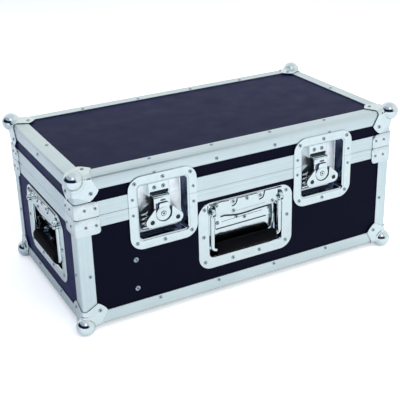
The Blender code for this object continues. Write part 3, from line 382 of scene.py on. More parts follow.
def moved_in(outline, distance):
    """Return an anticlockwise outline moved inwards by a distance."""
    count = len(outline)
    moved = []
    for index, point in enumerate(outline):
        before = Vector(outline[index - 1])
        here = Vector(point)
        after = Vector(outline[(index + 1) % count])
        first = (here - before).normalized()
        second = (after - here).normalized()
        normal_one = Vector((-first.y, first.x))
        normal_two = Vector((-second.y, second.x))
        spread = max(1.0 + normal_one.dot(normal_two), 0.4)
        moved.append(tuple(here + (normal_one + normal_two) * (distance / spread)))
    return moved


def ring(bm, outline, depth, place):
    """Add the points of an outline at a depth."""
    return [bm.verts.new(place @ Vector((u, depth, v))) for u, v in outline]


def bridge(bm, first, second, material=0):
    """Join two rings of as many points with faces."""
    count = len(first)
    for index in range(count):
        after = (index + 1) % count
        face = bm.faces.new((first[index], first[after], second[after], second[index]))
        face.material_index = material


def loft(bm, loops):
    """Join rings of points in a row and close both ends."""
    for first, second in zip(loops, loops[1:]):
        bridge(bm, first, second)
    bm.faces.new(loops[0])
    bm.faces.new(loops[-1])


def fill(bm, loops, material=0):
    """Fill a flat outline and its holes."""
    if len(loops) == 1:
        bm.faces.new(loops[0]).material_index = material
        return
    edges = []
    for loop in loops:
        for index, vert in enumerate(loop):
            other = loop[(index + 1) % len(loop)]
            edges.append(bm.edges.get((vert, other)) or bm.edges.new((vert, other)))
    made = bmesh.ops.triangle_fill(bm, use_beauty=True, use_dissolve=False, edges=edges)
    for item in made["geom"]:
        if isinstance(item, bmesh.types.BMFace):
            item.material_index = material


def add_plate(bm, outline, front, thickness, place, holes=(), rounding=ROUNDING, steps=3, material=0,
              rear=None, rim=None):
    """Add a flat plate with rounded front edges. Rear and rim are the materials of its back and sides."""
    fronts, backs = [], []
    for path, way in [(outline, 1.0)] + [(hole, -1.0) for hole in holes]:
        back = ring(bm, path, front + thickness, place)
        backs.append(back)
        last = back
        for step in range(steps + 1):
            angle = math.radians(90.0 * step / steps)
            inset = way * rounding * (1.0 - math.cos(angle))
            level = front + rounding * (1.0 - math.sin(angle))
            after = ring(bm, moved_in(path, inset), level, place)
            bridge(bm, last, after, rim if step == 0 and rim is not None else material)
            last = after
        fronts.append(last)
    fill(bm, fronts, material)
    fill(bm, backs, material if rear is None else rear)


def ways_along(path):
    """Return the direction of a path at each of its points."""
    points = [Vector(point) for point in path]
    pairs = zip(points[:1] + points[:-1], points[1:] + points[-1:])
    return [(after - before).normalized() for before, after in pairs]


def add_shade_line(bm, path, width, front, place, material=DARK):
    """Add a narrow inlay of painted shade along a path of (u, v), where a cut, gap or fold in a sheet lies in
    shade.
    """
    left, right = [], []
    for point, along in zip(path, ways_along(path)):
        side = Vector((-along.y, along.x)) * (width / 2)
        left.append(tuple(Vector(point) + side))
        right.append(tuple(Vector(point) - side))
    outline = right + left[::-1]
    add_plate(bm, outline, front, CUT_THICKNESS, place, rounding=CUT_ROUNDING, steps=1, material=material)


def add_lathe(bm, profile, place, steps=20, bands=(), band_material=1):
    """Turn a profile of (radius, depth) about the depth axis. Bands lists the rows of another material."""
    rows = []
    for radius, depth in profile:
        if radius == 0.0:
            rows.append([bm.verts.new(place @ Vector((0.0, depth, 0.0)))])
        else:
            rows.append(ring(bm, circle(radius, steps=steps), depth, place))
    for index, (first, second) in enumerate(zip(rows, rows[1:])):
        material = band_material if index in bands else 0
        if len(first) == 1 or len(second) == 1:
            tip, loop = (first[0], second) if len(first) == 1 else (second[0], first)
            for step in range(len(loop)):
                face = bm.faces.new((tip, loop[step], loop[(step + 1) % len(loop)]))
                face.material_index = material
        else:
            bridge(bm, first, second, material)


def add_strip(bm, path, half_width, thickness, place, rounding):
    """Sweep a sheet with rounded edges along a path of (depth, v), with its width along u."""
    section = rounded_rectangle(half_width, thickness / 2, rounding, steps=3)
    loops = []
    for (depth, v), along in zip(path, ways_along(path)):
        loops.append([
            bm.verts.new(place @ Vector((u, depth - along.y * w, v + along.x * w))) for u, w in section])
    loft(bm, loops)


def add_rod(bm, path, radius, steps=18):
    """Sweep a round rod along a path of points."""
    loops = []
    side = None
    for point, along in zip(path, ways_along(path)):
        if side is None:
            side = along.orthogonal().normalized()
        side = (side - along * side.dot(along)).normalized()
        other = along.cross(side)
        loops.append([
            bm.verts.new(Vector(point) + side * (radius * math.cos(a)) + other * (radius * math.sin(a)))
            for a in (2 * math.pi * step / steps for step in range(steps))])
    loft(bm, loops)


def add_box(bm, low, high, place, rounding=ROUNDING, material=0):
    """Add a block with rounded front edges, from its lowest to its highest (u, depth, v)."""
    middle = ((low[0] + high[0]) / 2, (low[2] + high[2]) / 2)
    outline = rounded_rectangle((high[0] - low[0]) / 2, (high[2] - low[2]) / 2, rounding * 1.5, middle, 4)
    add_plate(bm, outline, low[1], high[1] - low[1], place, rounding=rounding, material=material)


def new_object(name, bm):
    """Return an object of a mesh that is still being edited, and end the editing."""
    mesh = bpy.data.meshes.new(name)
    bm.to_mesh(mesh)
    bm.free()
    made = bpy.data.objects.new(name, mesh)
    bpy.context.scene.collection.objects.link(made)
    return made


def remove_object(made):
    """Remove an object and its mesh."""
    mesh = made.data
    bpy.data.objects.remove(made)
    bpy.data.meshes.remove(mesh)


def evaluated(bm, steps):
    """Return a mesh after a few modifiers. Steps is a list of (kind, settings)."""
    holder = new_object("holder", bm)
    for kind, settings in steps:
        step = holder.modifiers.new(kind, kind)
        for key, value in settings.items():
            setattr(step, key, value)
    made = bmesh.new()
    made.from_mesh(holder.evaluated_get(bpy.context.evaluated_depsgraph_get()).to_mesh())
    remove_object(holder)
    return made


def finish_piece(name, bm, body, materials, replaced=(), angle=SMOOTH_BEND, normals=True):
    """Make an object of a mesh, shade it, and let it ride on a body."""
    if normals:
        bmesh.ops.recalc_face_normals(bm, faces=bm.faces)
    piece = new_object(name, bm)
    for material in materials:
        piece.data.materials.append(material)
    piece.data.shade_smooth()
    piece.data.set_sharp_from_angle(angle=math.radians(angle))
    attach(piece, body)
    if replaced:
        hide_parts(*replaced)


def finish_pressing(name, bm, body, node):
    """Make an object of a pressing, in place of its CAD node."""
    finish_piece(name, bm, body, PRESSED, [node], normals=False)


def wall(forward, up, origin):
    """Return the matrix of a wall: u to the right of someone who looks at it, depth into it, v up."""
    forward, up = Vector(forward), Vector(up)
    turn = Matrix((forward.cross(up), forward, up)).transposed().to_4x4()
    return Matrix.Translation(origin) @ turn


FRONT = wall((0, 1, 0), (0, 0, 1), (0, -HALF_DEPTH, 0))
BACK = wall((0, -1, 0), (0, 0, 1), (0, HALF_DEPTH, 0))
LEFT = wall((1, 0, 0), (0, 0, 1), (-HALF_WIDTH, 0, 0))
RIGHT = wall((-1, 0, 0), (0, 0, 1), (HALF_WIDTH, 0, 0))
LID_TOP = wall((0, 0, -1), (0, 1, 0), (0, 0, TOP))
UNDERSIDE = wall((0, 0, 1), (0, 1, 0), (0, 0, GROUND))


def at(place, u, depth, v):
    """Return the matrix of a place on a wall."""
    return place @ Matrix.Translation((u, depth, v))


# Rivets and pressed sheet

RIVET_PROFILE = mm((
    (0, -0.2), (0.95, -0.22), (1.05, -0.3), (1.12, -0.8), (1.35, -1.02), (1.7, -1.08), (2.2, -0.98),
    (2.7, -0.7), (2.98, -0.35), (3.1, 0), (0, 0.1)))
# Rows of the head that are painted shade, in its hollow stem
RIVET_BANDS = (0, 1, 2)
SMALL_RIVET = 0.8
EDGE_RIVET = 0.92
SHEET = 0.0012
SHEET_FACE = -0.0015


def rivets(name, body, places, scale=1.0):
    """Make a group of blind rivets: domed heads with painted shade in the hollow stem."""
    bm = bmesh.new()
    profile = [(r * scale, d * scale) for r, d in RIVET_PROFILE]
    for place in places:
        add_lathe(bm, profile, place, 16, RIVET_BANDS)
    finish_piece(name, bm, body, (RIVET_AND_SHADE_LINE_METAL, PAINTED_SHADE))


def make_dish(rings, place, walls, floor, line=None):
    """Loft a pressed dish through its rings and close its floor. Walls and line tell which rings end the
    bands of painted shade: dark walls and a softer line.
    """
    bm = bmesh.new()
    last = None
    for index, (half_width, half_height, radius, middle, depth) in enumerate(rings):
        outline = rounded_rectangle(half_width, half_height, radius, (0.0, middle), 10)
        loop = ring(bm, outline, depth, place)
        if last:
            bridge(bm, last, loop, WALL if index in walls else LINE_SHADE if index == line else FACE)
        last = loop
    bm.faces.new(last).material_index = floor
    bmesh.ops.recalc_face_normals(bm, faces=bm.faces)
    return bm


def cut_at(bm, height, keep_below):
    """Cut away what lies above, or below, a height."""
    geometry = list(bm.verts) + list(bm.edges) + list(bm.faces)
    bmesh.ops.bisect_plane(
        bm, geom=geometry, plane_co=(0, 0, height), plane_no=(0, 0, 1),
        clear_outer=keep_below, clear_inner=not keep_below)


def thicken(bm, outward):
    """Give an open sheet its thickness. Outward points to its seen side, in front of its flat floor."""
    bm.normal_update()
    total = Vector((0, 0, 0))
    for face in bm.faces:
        total += face.normal * face.calc_area()
    if total.dot(outward) < 0:
        bmesh.ops.reverse_faces(bm, faces=bm.faces)
    bm.normal_update()
    return evaluated(bm, [("SOLIDIFY", {"thickness": SHEET, "offset": -1.0, "use_even_offset": True})])


# Latches

LATCH_X = 0.1329
LATCH_CENTRE = SEAM - 0.0116
ROTOR_HEIGHT = SEAM - 0.0201
# Half width, half height, corner radius and depth of each ring of the pressed dish
LATCH_RINGS = mm((
    (52, 54.7, 20, -0.3), (52, 54.7, 20, -0.9), (51.85, 54.55, 19.85, -1.2), (51.4, 54.1, 19.4, -1.4),
    (50, 52.7, 18, -1.5), (39.8, 42.5, 7.5, -1.5), (39.1, 41.8, 6.9, -1.4), (38.2, 40.9, 6.1, -1),
    (37.3, 40, 5.4, -0.2), (37, 39.75, 5, 0.9), (36.6, 39.35, 4.8, 15.8), (36.3, 39.05, 4.6, 17),
    (35.6, 38.3, 4.2, 17.7), (34.6, 37.3, 3.5, 18)))
# Rings that end the bands of painted shade: the dark walls, and a softer line round the flange's inner border
LATCH_WALLS = (10, 11, 12)
LINE_RING = 6
LATCH_RIVETS = mm(((-42.1, 209.9), (42.1, 209.9), (0, 212.3), (-42.1, 120.9), (42.1, 120.9), (0, 117.4)))
SIDE_RIVETS = (("base", 0.1641), ("lid", 0.1875))
SIDE_RIVET_X = 0.046
# Boss behind the mechanism, the sheet of painted shade on it that the spring sits in front of, and the one
# beside the hook
BOSS_FACE = 0.0133
BOSS_THICKNESS = 0.0047
BOSS_RIVET = (0.0217, 0.1391)
BOSS_CORNERS = mm((
    (-26.5, 131.4), (26.5, 131.4), (27, 132), (27, 150), (12.5, 164), (12.5, 169.5), (-14, 169.5),
    (-23, 163.5), (-27, 159), (-27, 132)))
SPRING_SHADE_FACE = 0.0127
SPRING_SHADE_THICKNESS = 0.0007
SPRING_SHADE_CORNERS = mm(((-30, 135), (-15.5, 135), (-15.5, 169.5), (-23.5, 164.5), (-30.6, 157.8), (-31, 137)))
HOOK_SHADE = mm(((-16, 12.2, 152), (-8.5, 13.4, 178.8)))
# Coil spring: turns, lowest and highest point, middle, half sizes and wire radius
SPRING_TURNS = 3.0
SPRING_LOW = 0.1403
SPRING_HIGH = 0.1604
SPRING_MIDDLE = (-0.0253, 0.0093)
SPRING_HALF = (0.0053, 0.0022)
SPRING_STEPS = 60
SPRING_WIRE = 0.00115
# Strike: the outline, the slot in it and the box of painted shade behind the slot
STRIKE_FACE = 0.012
STRIKE_THICKNESS = 0.006
STRIKE_ROUNDING = 0.0007
STRIKE_OUTLINE = (0.0162, 0.01125, 0.002, (0.0, 0.19055), 5)
STRIKE_SLOT = (0.0138, 0.00185, 0.0006, (0.0, 0.1840), 3)
STRIKE_SLOT_SHADE = mm(((-14, 15, 180.1), (14, 17.9, 187.4)))
STRIKE_RIVETS = mm(((-7, 192), (6.6, 192)))
# Hook plate: its path of (depth, v), half width and thickness, and the oval of painted shade on it that
# stands for a hole
HOOK_PATH = mm((
    (4.2, 144.1), (4.2, 150), (4.2, 178.2), (4.35, 179.1), (4.8, 179.9), (5.6, 180.5), (6.6, 180.8),
    (9.2, 181.1), (11.7, 181.3)))
HOOK_HALF_WIDTH = 0.0125
HOOK_THICKNESS = 0.0018
HOOK_ROUNDING = 0.0005
OVAL_PLACE = (0.0012, 0, 0.1752)
OVAL_HALF = (0.0046, 0.0015)
OVAL_FACE = 0.0031
OVAL_THICKNESS = 0.0012


# Rotor and wing, from the rotor's axis
DISC_RADIUS = 0.0109
NECK_LEFT = 0.0062
NECK_RIGHT = 0.0094
NECK_TOP = 0.0155
NECK_ROUNDING = 0.0026
ROTOR_FACE = 0.0002
ROTOR_THICKNESS = 0.0028
# Domed disc and the axle behind it, as (radius, depth)
DISC_PROFILE = mm((
    (9.8, 0.4), (9.6, 0), (9, -0.2), (8.3, -0.15), (7.7, 0.1), (5.2, 0.12), (4.2, 0), (3.9, -0.4),
    (3.1, -0.8), (2.2, -0.95), (1.7, -0.9), (1.4, -0.6), (0, -0.55)))
# Rows of the disc that are painted shade: a ring on its slope, and its middle
DISC_BANDS = (7, 11)
AXLE_PROFILE = mm(((0, 2.9), (5, 2.9), (5, 13), (0, 13)))
# Painted shade in the gap round the disc, and in the one beside the neck
GAP_RADIUS = 0.0150
GAP_TOP = (0.0133, 0.0070)
GAP_FACE = 0.0026
GAP_THICKNESS = 0.0004
NECK_GAP = mm(((-10.2, 2.4, 3.6), (-5.6, 3, 15)))
ARM_TOP = 0.0080
ARM_OUTSIDE = 0.0152
NOTCH_RADIUS = 0.0122
LEFT_LOBE = -0.0190
RIGHT_LOBE = 0.0202
LOBE_DROP = 0.0101
LOBE_RADIUS = 0.0089
WING_FACE = 0.0007
WING_THICKNESS = 0.0018
WING_HOLE = 0.0032
# A disc of painted shade behind each hole, as (radius, depth)
WING_HOLE_BACK = mm(((0, 1.8), (3.4, 1.8), (3.4, 2.4), (0, 2.4)))
# The wing hangs a little to one side of the rotor, and its holes more so
WING_SHIFT = (0.0013, -0.0004)
WING_HOLE_SHIFT = (0.0020, -0.0010)


def rotor_outline():
    """Return the outline of the rotor's disc and neck."""
    left = math.degrees(math.acos(NECK_LEFT / DISC_RADIUS))
    right = math.degrees(math.acos(NECK_RIGHT / DISC_RADIUS))
    outline = arc((0, 0), DISC_RADIUS, 180.0 - left, 360.0 + right, 30)
    for index, edge in enumerate((NECK_RIGHT - NECK_ROUNDING, NECK_ROUNDING - NECK_LEFT)):
        middle = (edge, NECK_TOP - NECK_ROUNDING)
        outline += arc(middle, NECK_ROUNDING, index * 90.0, index * 90.0 + 90.0, 5)
    return outline


def wing_outline():
    """Return the wing's outline: two arms beside the neck, two lobes and the notch round the disc."""
    outline = [(-NOTCH_RADIUS, ARM_TOP), (-ARM_OUTSIDE + 0.001, ARM_TOP), (-ARM_OUTSIDE, ARM_TOP - 0.001)]
    outline += arc((LEFT_LOBE, -LOBE_DROP), LOBE_RADIUS, 135.0, 270.0, 14)
    outline += arc((RIGHT_LOBE, -LOBE_DROP), LOBE_RADIUS, 270.0, 405.0, 14)
    outline += [(ARM_OUTSIDE, ARM_TOP - 0.001), (ARM_OUTSIDE - 0.001, ARM_TOP), (NOTCH_RADIUS, ARM_TOP)]
    return outline + arc((0, 0), NOTCH_RADIUS, 0.0, -180.0, 28)


def spring_path(place):
    """Return the path of the coil spring beside the hook."""
    path = []
    for step in range(SPRING_STEPS + 1):
        angle = 2 * math.pi * SPRING_TURNS * step / SPRING_STEPS
        height = SPRING_LOW + (SPRING_HIGH - SPRING_LOW) * step / SPRING_STEPS
        u = SPRING_MIDDLE[0] + SPRING_HALF[0] * math.cos(angle)
        depth = SPRING_MIDDLE[1] + SPRING_HALF[1] * math.sin(angle)
        path.append(place @ Vector((u, depth, height)))
    return path


def latch_dish(place, keep_below):
    """Return half of a latch's dish, below or above the seam."""
    rings = [(*sizes, LATCH_CENTRE, depth) for *sizes, depth in LATCH_RINGS]
    bm = make_dish(rings, place, LATCH_WALLS, FLOOR, LINE_RING)
    cut_at(bm, SEAM - HALF_SEAM if keep_below else SEAM + HALF_SEAM, keep_below)
    return thicken(bm, Vector((0, -1, 0)))


def make_latch_base(name, place):
    """Make the lower half of a latch: dish, boss, sheets of painted shade beside the spring and hook, and
    coil spring.
    """
    bm = latch_dish(place, True)
    add_plate(bm, BOSS_CORNERS, BOSS_FACE, BOSS_THICKNESS, place)
    add_plate(
        bm, SPRING_SHADE_CORNERS, SPRING_SHADE_FACE, SPRING_SHADE_THICKNESS, place, rounding=SHARP_ROUNDING, steps=1,
        material=DARK)
    add_box(bm, *HOOK_SHADE, place, THIN_ROUNDING, DARK)
    add_rod(bm, spring_path(place), SPRING_WIRE, 12)
    finish_pressing(f"{name}_base_pressing", bm, "base", f"{name}_base_dish")


def make_latch_lid(name, place):
    """Make the upper half of a latch: dish and slotted strike, with a box of painted shade behind the slot.
    """
    bm = latch_dish(place, False)
    strike, slot = rounded_rectangle(*STRIKE_OUTLINE), rounded_rectangle(*STRIKE_SLOT)
    add_plate(bm, strike, STRIKE_FACE, STRIKE_THICKNESS, place, [slot], STRIKE_ROUNDING)
    finish_pressing(f"{name}_lid_pressing", bm, "lid", f"{name}_lid_dish")
    shade = bmesh.new()
    add_box(shade, *STRIKE_SLOT_SHADE, place)
    finish_piece(f"{name}_strike_slot_shade", shade, "lid", (PAINTED_SHADE,))


def make_hook(name, place):
    """Make the hook plate that slides behind the rotor."""
    bm = bmesh.new()
    add_strip(bm, HOOK_PATH, HOOK_HALF_WIDTH, HOOK_THICKNESS, place, HOOK_ROUNDING)
    # A dark oval of painted shade, where the plate would show a hole
    oval = [(u * OVAL_HALF[0], v * OVAL_HALF[1]) for u, v in circle(1.0, steps=24)]
    spot = at(place, *OVAL_PLACE)
    add_plate(bm, oval, OVAL_FACE, OVAL_THICKNESS, spot, rounding=THIN_ROUNDING, material=SHADE_INDEX)
    materials = (CHROME, SHADED_CHROME)
    finish_piece(f"{name}_hook_plate", bm, f"{name}_slide", materials, [f"{name}_hook"])


def make_rotor(name, axis):
    """Make the rotor: neck, domed disc and axle, with painted shade on its back and sides, on its disc and in
    the gaps round them.
    """
    bm = bmesh.new()
    add_plate(bm, rotor_outline(), ROTOR_FACE, ROTOR_THICKNESS, axis, rear=SHADE_INDEX, rim=SHADE_INDEX)
    add_lathe(bm, DISC_PROFILE, axis, 32, DISC_BANDS)
    add_lathe(bm, AXLE_PROFILE, axis, 24)
    gap = [(-GAP_TOP[0], GAP_TOP[1])] + arc((0, 0), GAP_RADIUS, 152.0, 388.0, 26) + [GAP_TOP]
    add_plate(bm, gap, GAP_FACE, GAP_THICKNESS, axis, rounding=GAP_ROUNDING, steps=1, material=SHADE_INDEX)
    add_box(bm, *NECK_GAP, axis, GAP_ROUNDING, 2)
    materials = (CHROME, PAINTED_SHADE, SHADED_CHROME)
    finish_piece(f"{name}_rotor_disc", bm, f"{name}_turn", materials, [f"{name}_rotor"])


def make_wing(name, axis):
    """Make the folding wing with a hole in each lobe, with painted shade on its back and sides and behind its
    holes.
    """
    bm = bmesh.new()
    spots = [(lobe + WING_HOLE_SHIFT[0], -LOBE_DROP + WING_HOLE_SHIFT[1]) for lobe in (LEFT_LOBE, RIGHT_LOBE)]
    outline = [(u + WING_SHIFT[0], v + WING_SHIFT[1]) for u, v in wing_outline()]
    holes = [circle(WING_HOLE, spot) for spot in spots]
    add_plate(bm, outline, WING_FACE, WING_THICKNESS, axis, holes, rear=SHADE_INDEX, rim=SHADE_INDEX)
    for u, v in spots:
        add_lathe(bm, WING_HOLE_BACK, at(axis, u, 0, v), 20, (0, 1, 2))
    materials = (CHROME, PAINTED_SHADE)
    finish_piece(f"{name}_wing_plate", bm, f"{name}_flap", materials, [f"{name}_wing"])


def make_latch_rivets(name, place):
    """Set the rivets of a latch's flange, boss and strike."""
    for body, height in SIDE_RIVETS:
        places = [at(place, side * SIDE_RIVET_X, SHEET_FACE, height) for side in (-1, 1)]
        rivets(f"{name}_{body}_side_rivets", body, places, SMALL_RIVET)
    base = [at(place, u, SHEET_FACE, v) for u, v in LATCH_RIVETS if v < SEAM]
    base += [at(place, side * BOSS_RIVET[0], BOSS_FACE, BOSS_RIVET[1]) for side in (-1, 1)]
    rivets(f"{name}_base_rivets", "base", base)
    lid = [at(place, u, SHEET_FACE, v) for u, v in LATCH_RIVETS if v > SEAM]
    lid += [at(place, u, STRIKE_FACE, v) for u, v in STRIKE_RIVETS]
    rivets(f"{name}_lid_rivets", "lid", lid)


def make_latch(name, centre):
    """Make both halves of a latch's dish, its strike, hook, rotor, wing and rivets."""
    place = at(FRONT, centre, 0, 0)
    axis = at(FRONT, centre, 0, ROTOR_HEIGHT)
    make_latch_base(name, place)
    make_latch_lid(name, place)
    make_hook(name, place)
    make_rotor(name, axis)
    make_wing(name, axis)
    make_latch_rivets(name, place)


# Handles

# Half width, half height, corner radius, middle height and depth of each ring of the pressed dish
HANDLE_RINGS = mm((
    (79.5, 52.65, 20, 101.25, 1.5), (79.5, 52.65, 20, 101.25, 0.8), (79.25, 52.4, 19.75, 101.25, 0.5),
    (78.7, 51.85, 19.2, 101.25, 0.35), (77.3, 50.45, 17.8, 101.25, 0.3), (64, 43, 8.4, 106.6, 0.3),
    (63, 42, 7.6, 106.6, 0.4), (62.1, 41.1, 6.7, 106.6, 0.9), (61.6, 40.6, 6.1, 106.6, 1.9),
    (61.5, 40.5, 6, 106.6, 3), (61.3, 40.3, 5.8, 106.6, 7.8), (60.9, 39.9, 5.6, 106.6, 15.7),
    (60.4, 39.4, 5.2, 106.6, 17.1), (59.4, 38.4, 4.6, 106.6, 17.8), (58, 37, 4, 106.6, 18)))
# Rings that end the walls of painted shade
HANDLE_WALLS = (10, 11, 12, 13)
HANDLE_RIVETS = mm((
    (-69.5, 144.5), (68.3, 144.3), (-71.3, 101.8), (70.4, 103.8), (-69.8, 60.6), (68, 61.6), (-23.6, 56.7),
    (21.7, 57.2)))
COVER_RIVETS = mm(((-50.8, 147.7), (-0.3, 148), (-22.9, 133.7), (43.4, 133.8), (50, 130)))
TAB_RIVETS = mm(((-23.7, 148.7), (21.7, 147.9)))
STRIP_RIVETS = mm(((-41.5, 111.8), (-9.5, 114.8), (4.3, 111.3), (46.6, 116), (49, 109)))

# The bent floor of the handle's dish and the spring strip on it, as corners of (across, depth, up)
FLOOR_FLAT = mm(((-58.5, 13.6, 70), (44, 13.6, 70), (57.5, 13.6, 98.5), (-58.5, 13.6, 98.5)))
FLOOR_SLOPE = mm(((-58.5, 13.6, 98.5), (57.5, 13.6, 98.5), (60.5, 17.6, 142), (-58.5, 17.6, 142)))
STRIP_CORNERS = mm(((-44.5, 12.9, 103.4), (53, 12.9, 104.8), (57.5, 15.5, 131), (-44.5, 15.5, 131)))
STRIP_EDGE = mm(((-44.5, 102.8), (41, 104.2)))
STRIP_FOLD = mm(((-34.3, 112.1), (34.3, 114.4)))
# Width and depth of the lines of painted shade along the strip's edge and its fold
STRIP_EDGE_CUT = mm((1.9, 12.8))
STRIP_FOLD_CUT = mm((0.8, 13.3))
FLOOR_THICKNESS = 0.0004
STRIP_THICKNESS = 0.0006
# Where the strip's face starts, how high, and how steeply it sinks
STRIP_FACE = 0.0129
STRIP_START = 0.1030
STRIP_SLOPE = 0.093
# The cover's lower edge, a fold above it, and the cuts beside and above its tabs; the fold and the cuts are
# lines of painted shade
COVER_EDGE = mm((
    (-52.4, 128.5), (-44, 130.2), (-37.2, 130.7), (-29, 129), (-20, 127.5), (-12.3, 126.8), (-4, 126.9),
    (5, 127.4), (13.2, 128.2), (27, 128.8), (39.1, 129.2), (52.4, 129.4)))
COVER_FOLD = mm(((-18.9, 132.5), (4.7, 133.1), (30.4, 133.7)))
COVER_CUTS = mm((
    ((-61, 150), (-41.8, 152.3), (-30.3, 151.4)), ((-17.1, 151.9), (-12.1, 151.6), (16.6, 152)),
    ((30, 153), (47.6, 152.6), (59, 152.5))))
COVER_CORNER = (0.0502, 0.1509)
COVER_ROUNDING = 0.0022
COVER_THICKNESS = 0.0018
# The painted shadow below the cover's edge, as its drop, width and depth, and the fold's line of painted
# shade, as its width and depth
EDGE_SHADOW = mm((-1.7, 2.4, -0.6))
FOLD_CUT = mm((0.7, -1.6))
# Each tab's half width, half height and corner radius, and its thickness
TAB_SIZES = mm((4.6, 4, 2))
TAB_THICKNESS = 0.0009
# Lines of painted shade beside the pivot and round each tab
PIVOT_CUT = mm(((-63.9, 150), (-64, 139)))
TAB_CUTS = mm((
    ((-17, 151.8), (-17.3, 148), (-18.7, 144.6), (-21.5, 142.4), (-25.6, 141.5)),
    ((29.6, 153), (28.6, 147.8), (26.9, 143.4), (24, 141.8), (20.3, 141.4))))
CUT_WIDTH = 0.0013
TAB_CUT_WIDTH = 0.0021
CUT_FACE = -0.0017
TAB_FACE = -0.0022
# Bail: height and depth of its axis, its sides, and how the rod bends
BAIL_AXIS = 0.1376
BAIL_X = 0.0568
BAIL_DEPTH = 0.001
ROD_RADIUS = 0.0032
ROD_BEND = 0.0055
ROD_FOOT = 0.0777
ROD_TOP = BAIL_AXIS - 0.0045
EYE_PROFILE = mm((
    (3, -2.2), (3.6, -2.8), (5.6, -2.8), (6.3, -2.1), (6.3, 2.1), (5.6, 2.8), (3.6, 2.8), (3, 2.2),
    (3, -2.2)))
# The ring's first two rows, its middle, are painted shade
RING_PROFILE = mm((
    (0, -3.6), (2, -3.6), (2.2, -5.4), (2.7, -6.1), (3.6, -6.1), (4.4, -5.3), (4.6, -4), (4.6, 1), (0, 1)))
RING_PLACE = (BAIL_X + 0.0002, 0.1358)
# Between the side and the opening: a bright strip on each side wall, a bearing block and its pin, painted
# dark as shade
SIDE_STRIP = mm(((60.3, 7.8, 74), (61.3, 14.8, 100)))
BEARING = ((0.0464, 0.0, BAIL_AXIS - 0.006), (0.0524, 0.008, BAIL_AXIS + 0.006))
BEARING_ROUNDING = 0.001
PIN_PROFILE = mm(((0, -7.3), (1.8, -7.3), (1.8, 7.3), (0, 7.3)))
PIN_X = 0.0533
# Grip: half sizes and corner radius of its section, and the middle of its depth
GRIP_SECTION = (0.008, 0.0085, 0.0072)
GRIP_MIDDLE = 0.0015
GRIP_END = 0.0505
# How far each section of a grip's end lies from its tip, and its share of the full section
GRIP_TAPER = ((0.0, 0.55), (0.0005, 0.72), (0.0015, 0.85), (0.0032, 0.94), (0.0060, 0.985), (0.0100, 1.0))
GRIP_SECTIONS = tuple((-GRIP_END + inwards, share) for inwards, share in GRIP_TAPER) + tuple(
    (GRIP_END - inwards, share) for inwards, share in reversed(GRIP_TAPER))


def add_slab(bm, corners, thickness, place):
    """Add a sheet between four front corners of (across, depth, up)."""
    front = [bm.verts.new(place @ Vector(corner)) for corner in corners]
    back = [bm.verts.new(place @ Vector((u, depth + thickness, v))) for u, depth, v in corners]
    bridge(bm, back, front)
    bm.faces.new(front)
    bm.faces.new(back[::-1])


def add_cover(bm, place):
    """Add the pivot cover with its riveted tabs, painted shade in the cuts beside them and painted shadow in
    the gaps round it.
    """
    x, v = COVER_CORNER
    corners = arc((x, v), COVER_ROUNDING, 0.0, 90.0, 5) + arc((-x, v), COVER_ROUNDING, 90.0, 180.0, 5)
    add_plate(bm, list(COVER_EDGE) + corners, SHEET_FACE, COVER_THICKNESS, place, rim=FLOOR)
    drop, width, depth = EDGE_SHADOW
    add_shade_line(bm, [(u, v + drop) for u, v in COVER_EDGE[1:-1]], width, depth, place)
    add_shade_line(bm, COVER_FOLD, *FOLD_CUT, place, LINE_SHADE)
    for path in COVER_CUTS:
        add_shade_line(bm, path, CUT_WIDTH, CUT_FACE, place)
    add_shade_line(bm, PIVOT_CUT, CUT_WIDTH, 0.0, place)
    for spot, path in zip(TAB_RIVETS, TAB_CUTS):
        add_plate(bm, rounded_rectangle(*TAB_SIZES, spot, 4), TAB_FACE, TAB_THICKNESS, place)
        add_shade_line(bm, path, TAB_CUT_WIDTH, CUT_FACE, place)


def add_side_box(bm, side, box, place, rounding):
    """Add a block that is given for the right side, on either side."""
    low, high = box
    inner, outer = sorted((side * low[0], side * high[0]))
    add_box(bm, (inner, *low[1:]), (outer, *high[1:]), place, rounding)


def pivot_place(place, side, x):
    """Return the place of a round part that turns about the bail's axis."""
    return at(place, side * x, BAIL_DEPTH, BAIL_AXIS) @ Matrix.Rotation(math.pi / 2, 4, "Z")


def make_handle_dish(name, place):
    """Make a handle's dish with its pivot cover, bent floor, spring strip and bearings, its walls and deep
    floor in painted shade.
    """
    bm = make_dish(HANDLE_RINGS, place, HANDLE_WALLS, WALL)
    bm = thicken(bm, -(place.to_3x3() @ Vector((0, 1, 0))))
    add_cover(bm, place)
    for corners in (FLOOR_FLAT, FLOOR_SLOPE):
        add_slab(bm, corners, FLOOR_THICKNESS, place)
    add_slab(bm, STRIP_CORNERS, STRIP_THICKNESS, place)
    add_shade_line(bm, STRIP_EDGE, *STRIP_EDGE_CUT, place)
    add_shade_line(bm, STRIP_FOLD, *STRIP_FOLD_CUT, place, LINE_SHADE)
    for side in (-1, 1):
        add_side_box(bm, side, SIDE_STRIP, place, THIN_ROUNDING)
        add_side_box(bm, side, BEARING, place, BEARING_ROUNDING)
        add_lathe(bm, PIN_PROFILE, pivot_place(place, side, PIN_X), 20, (0, 1, 2, 3), DARK)
    finish_pressing(f"{name}_pressing", bm, "base", f"{name}_dish")


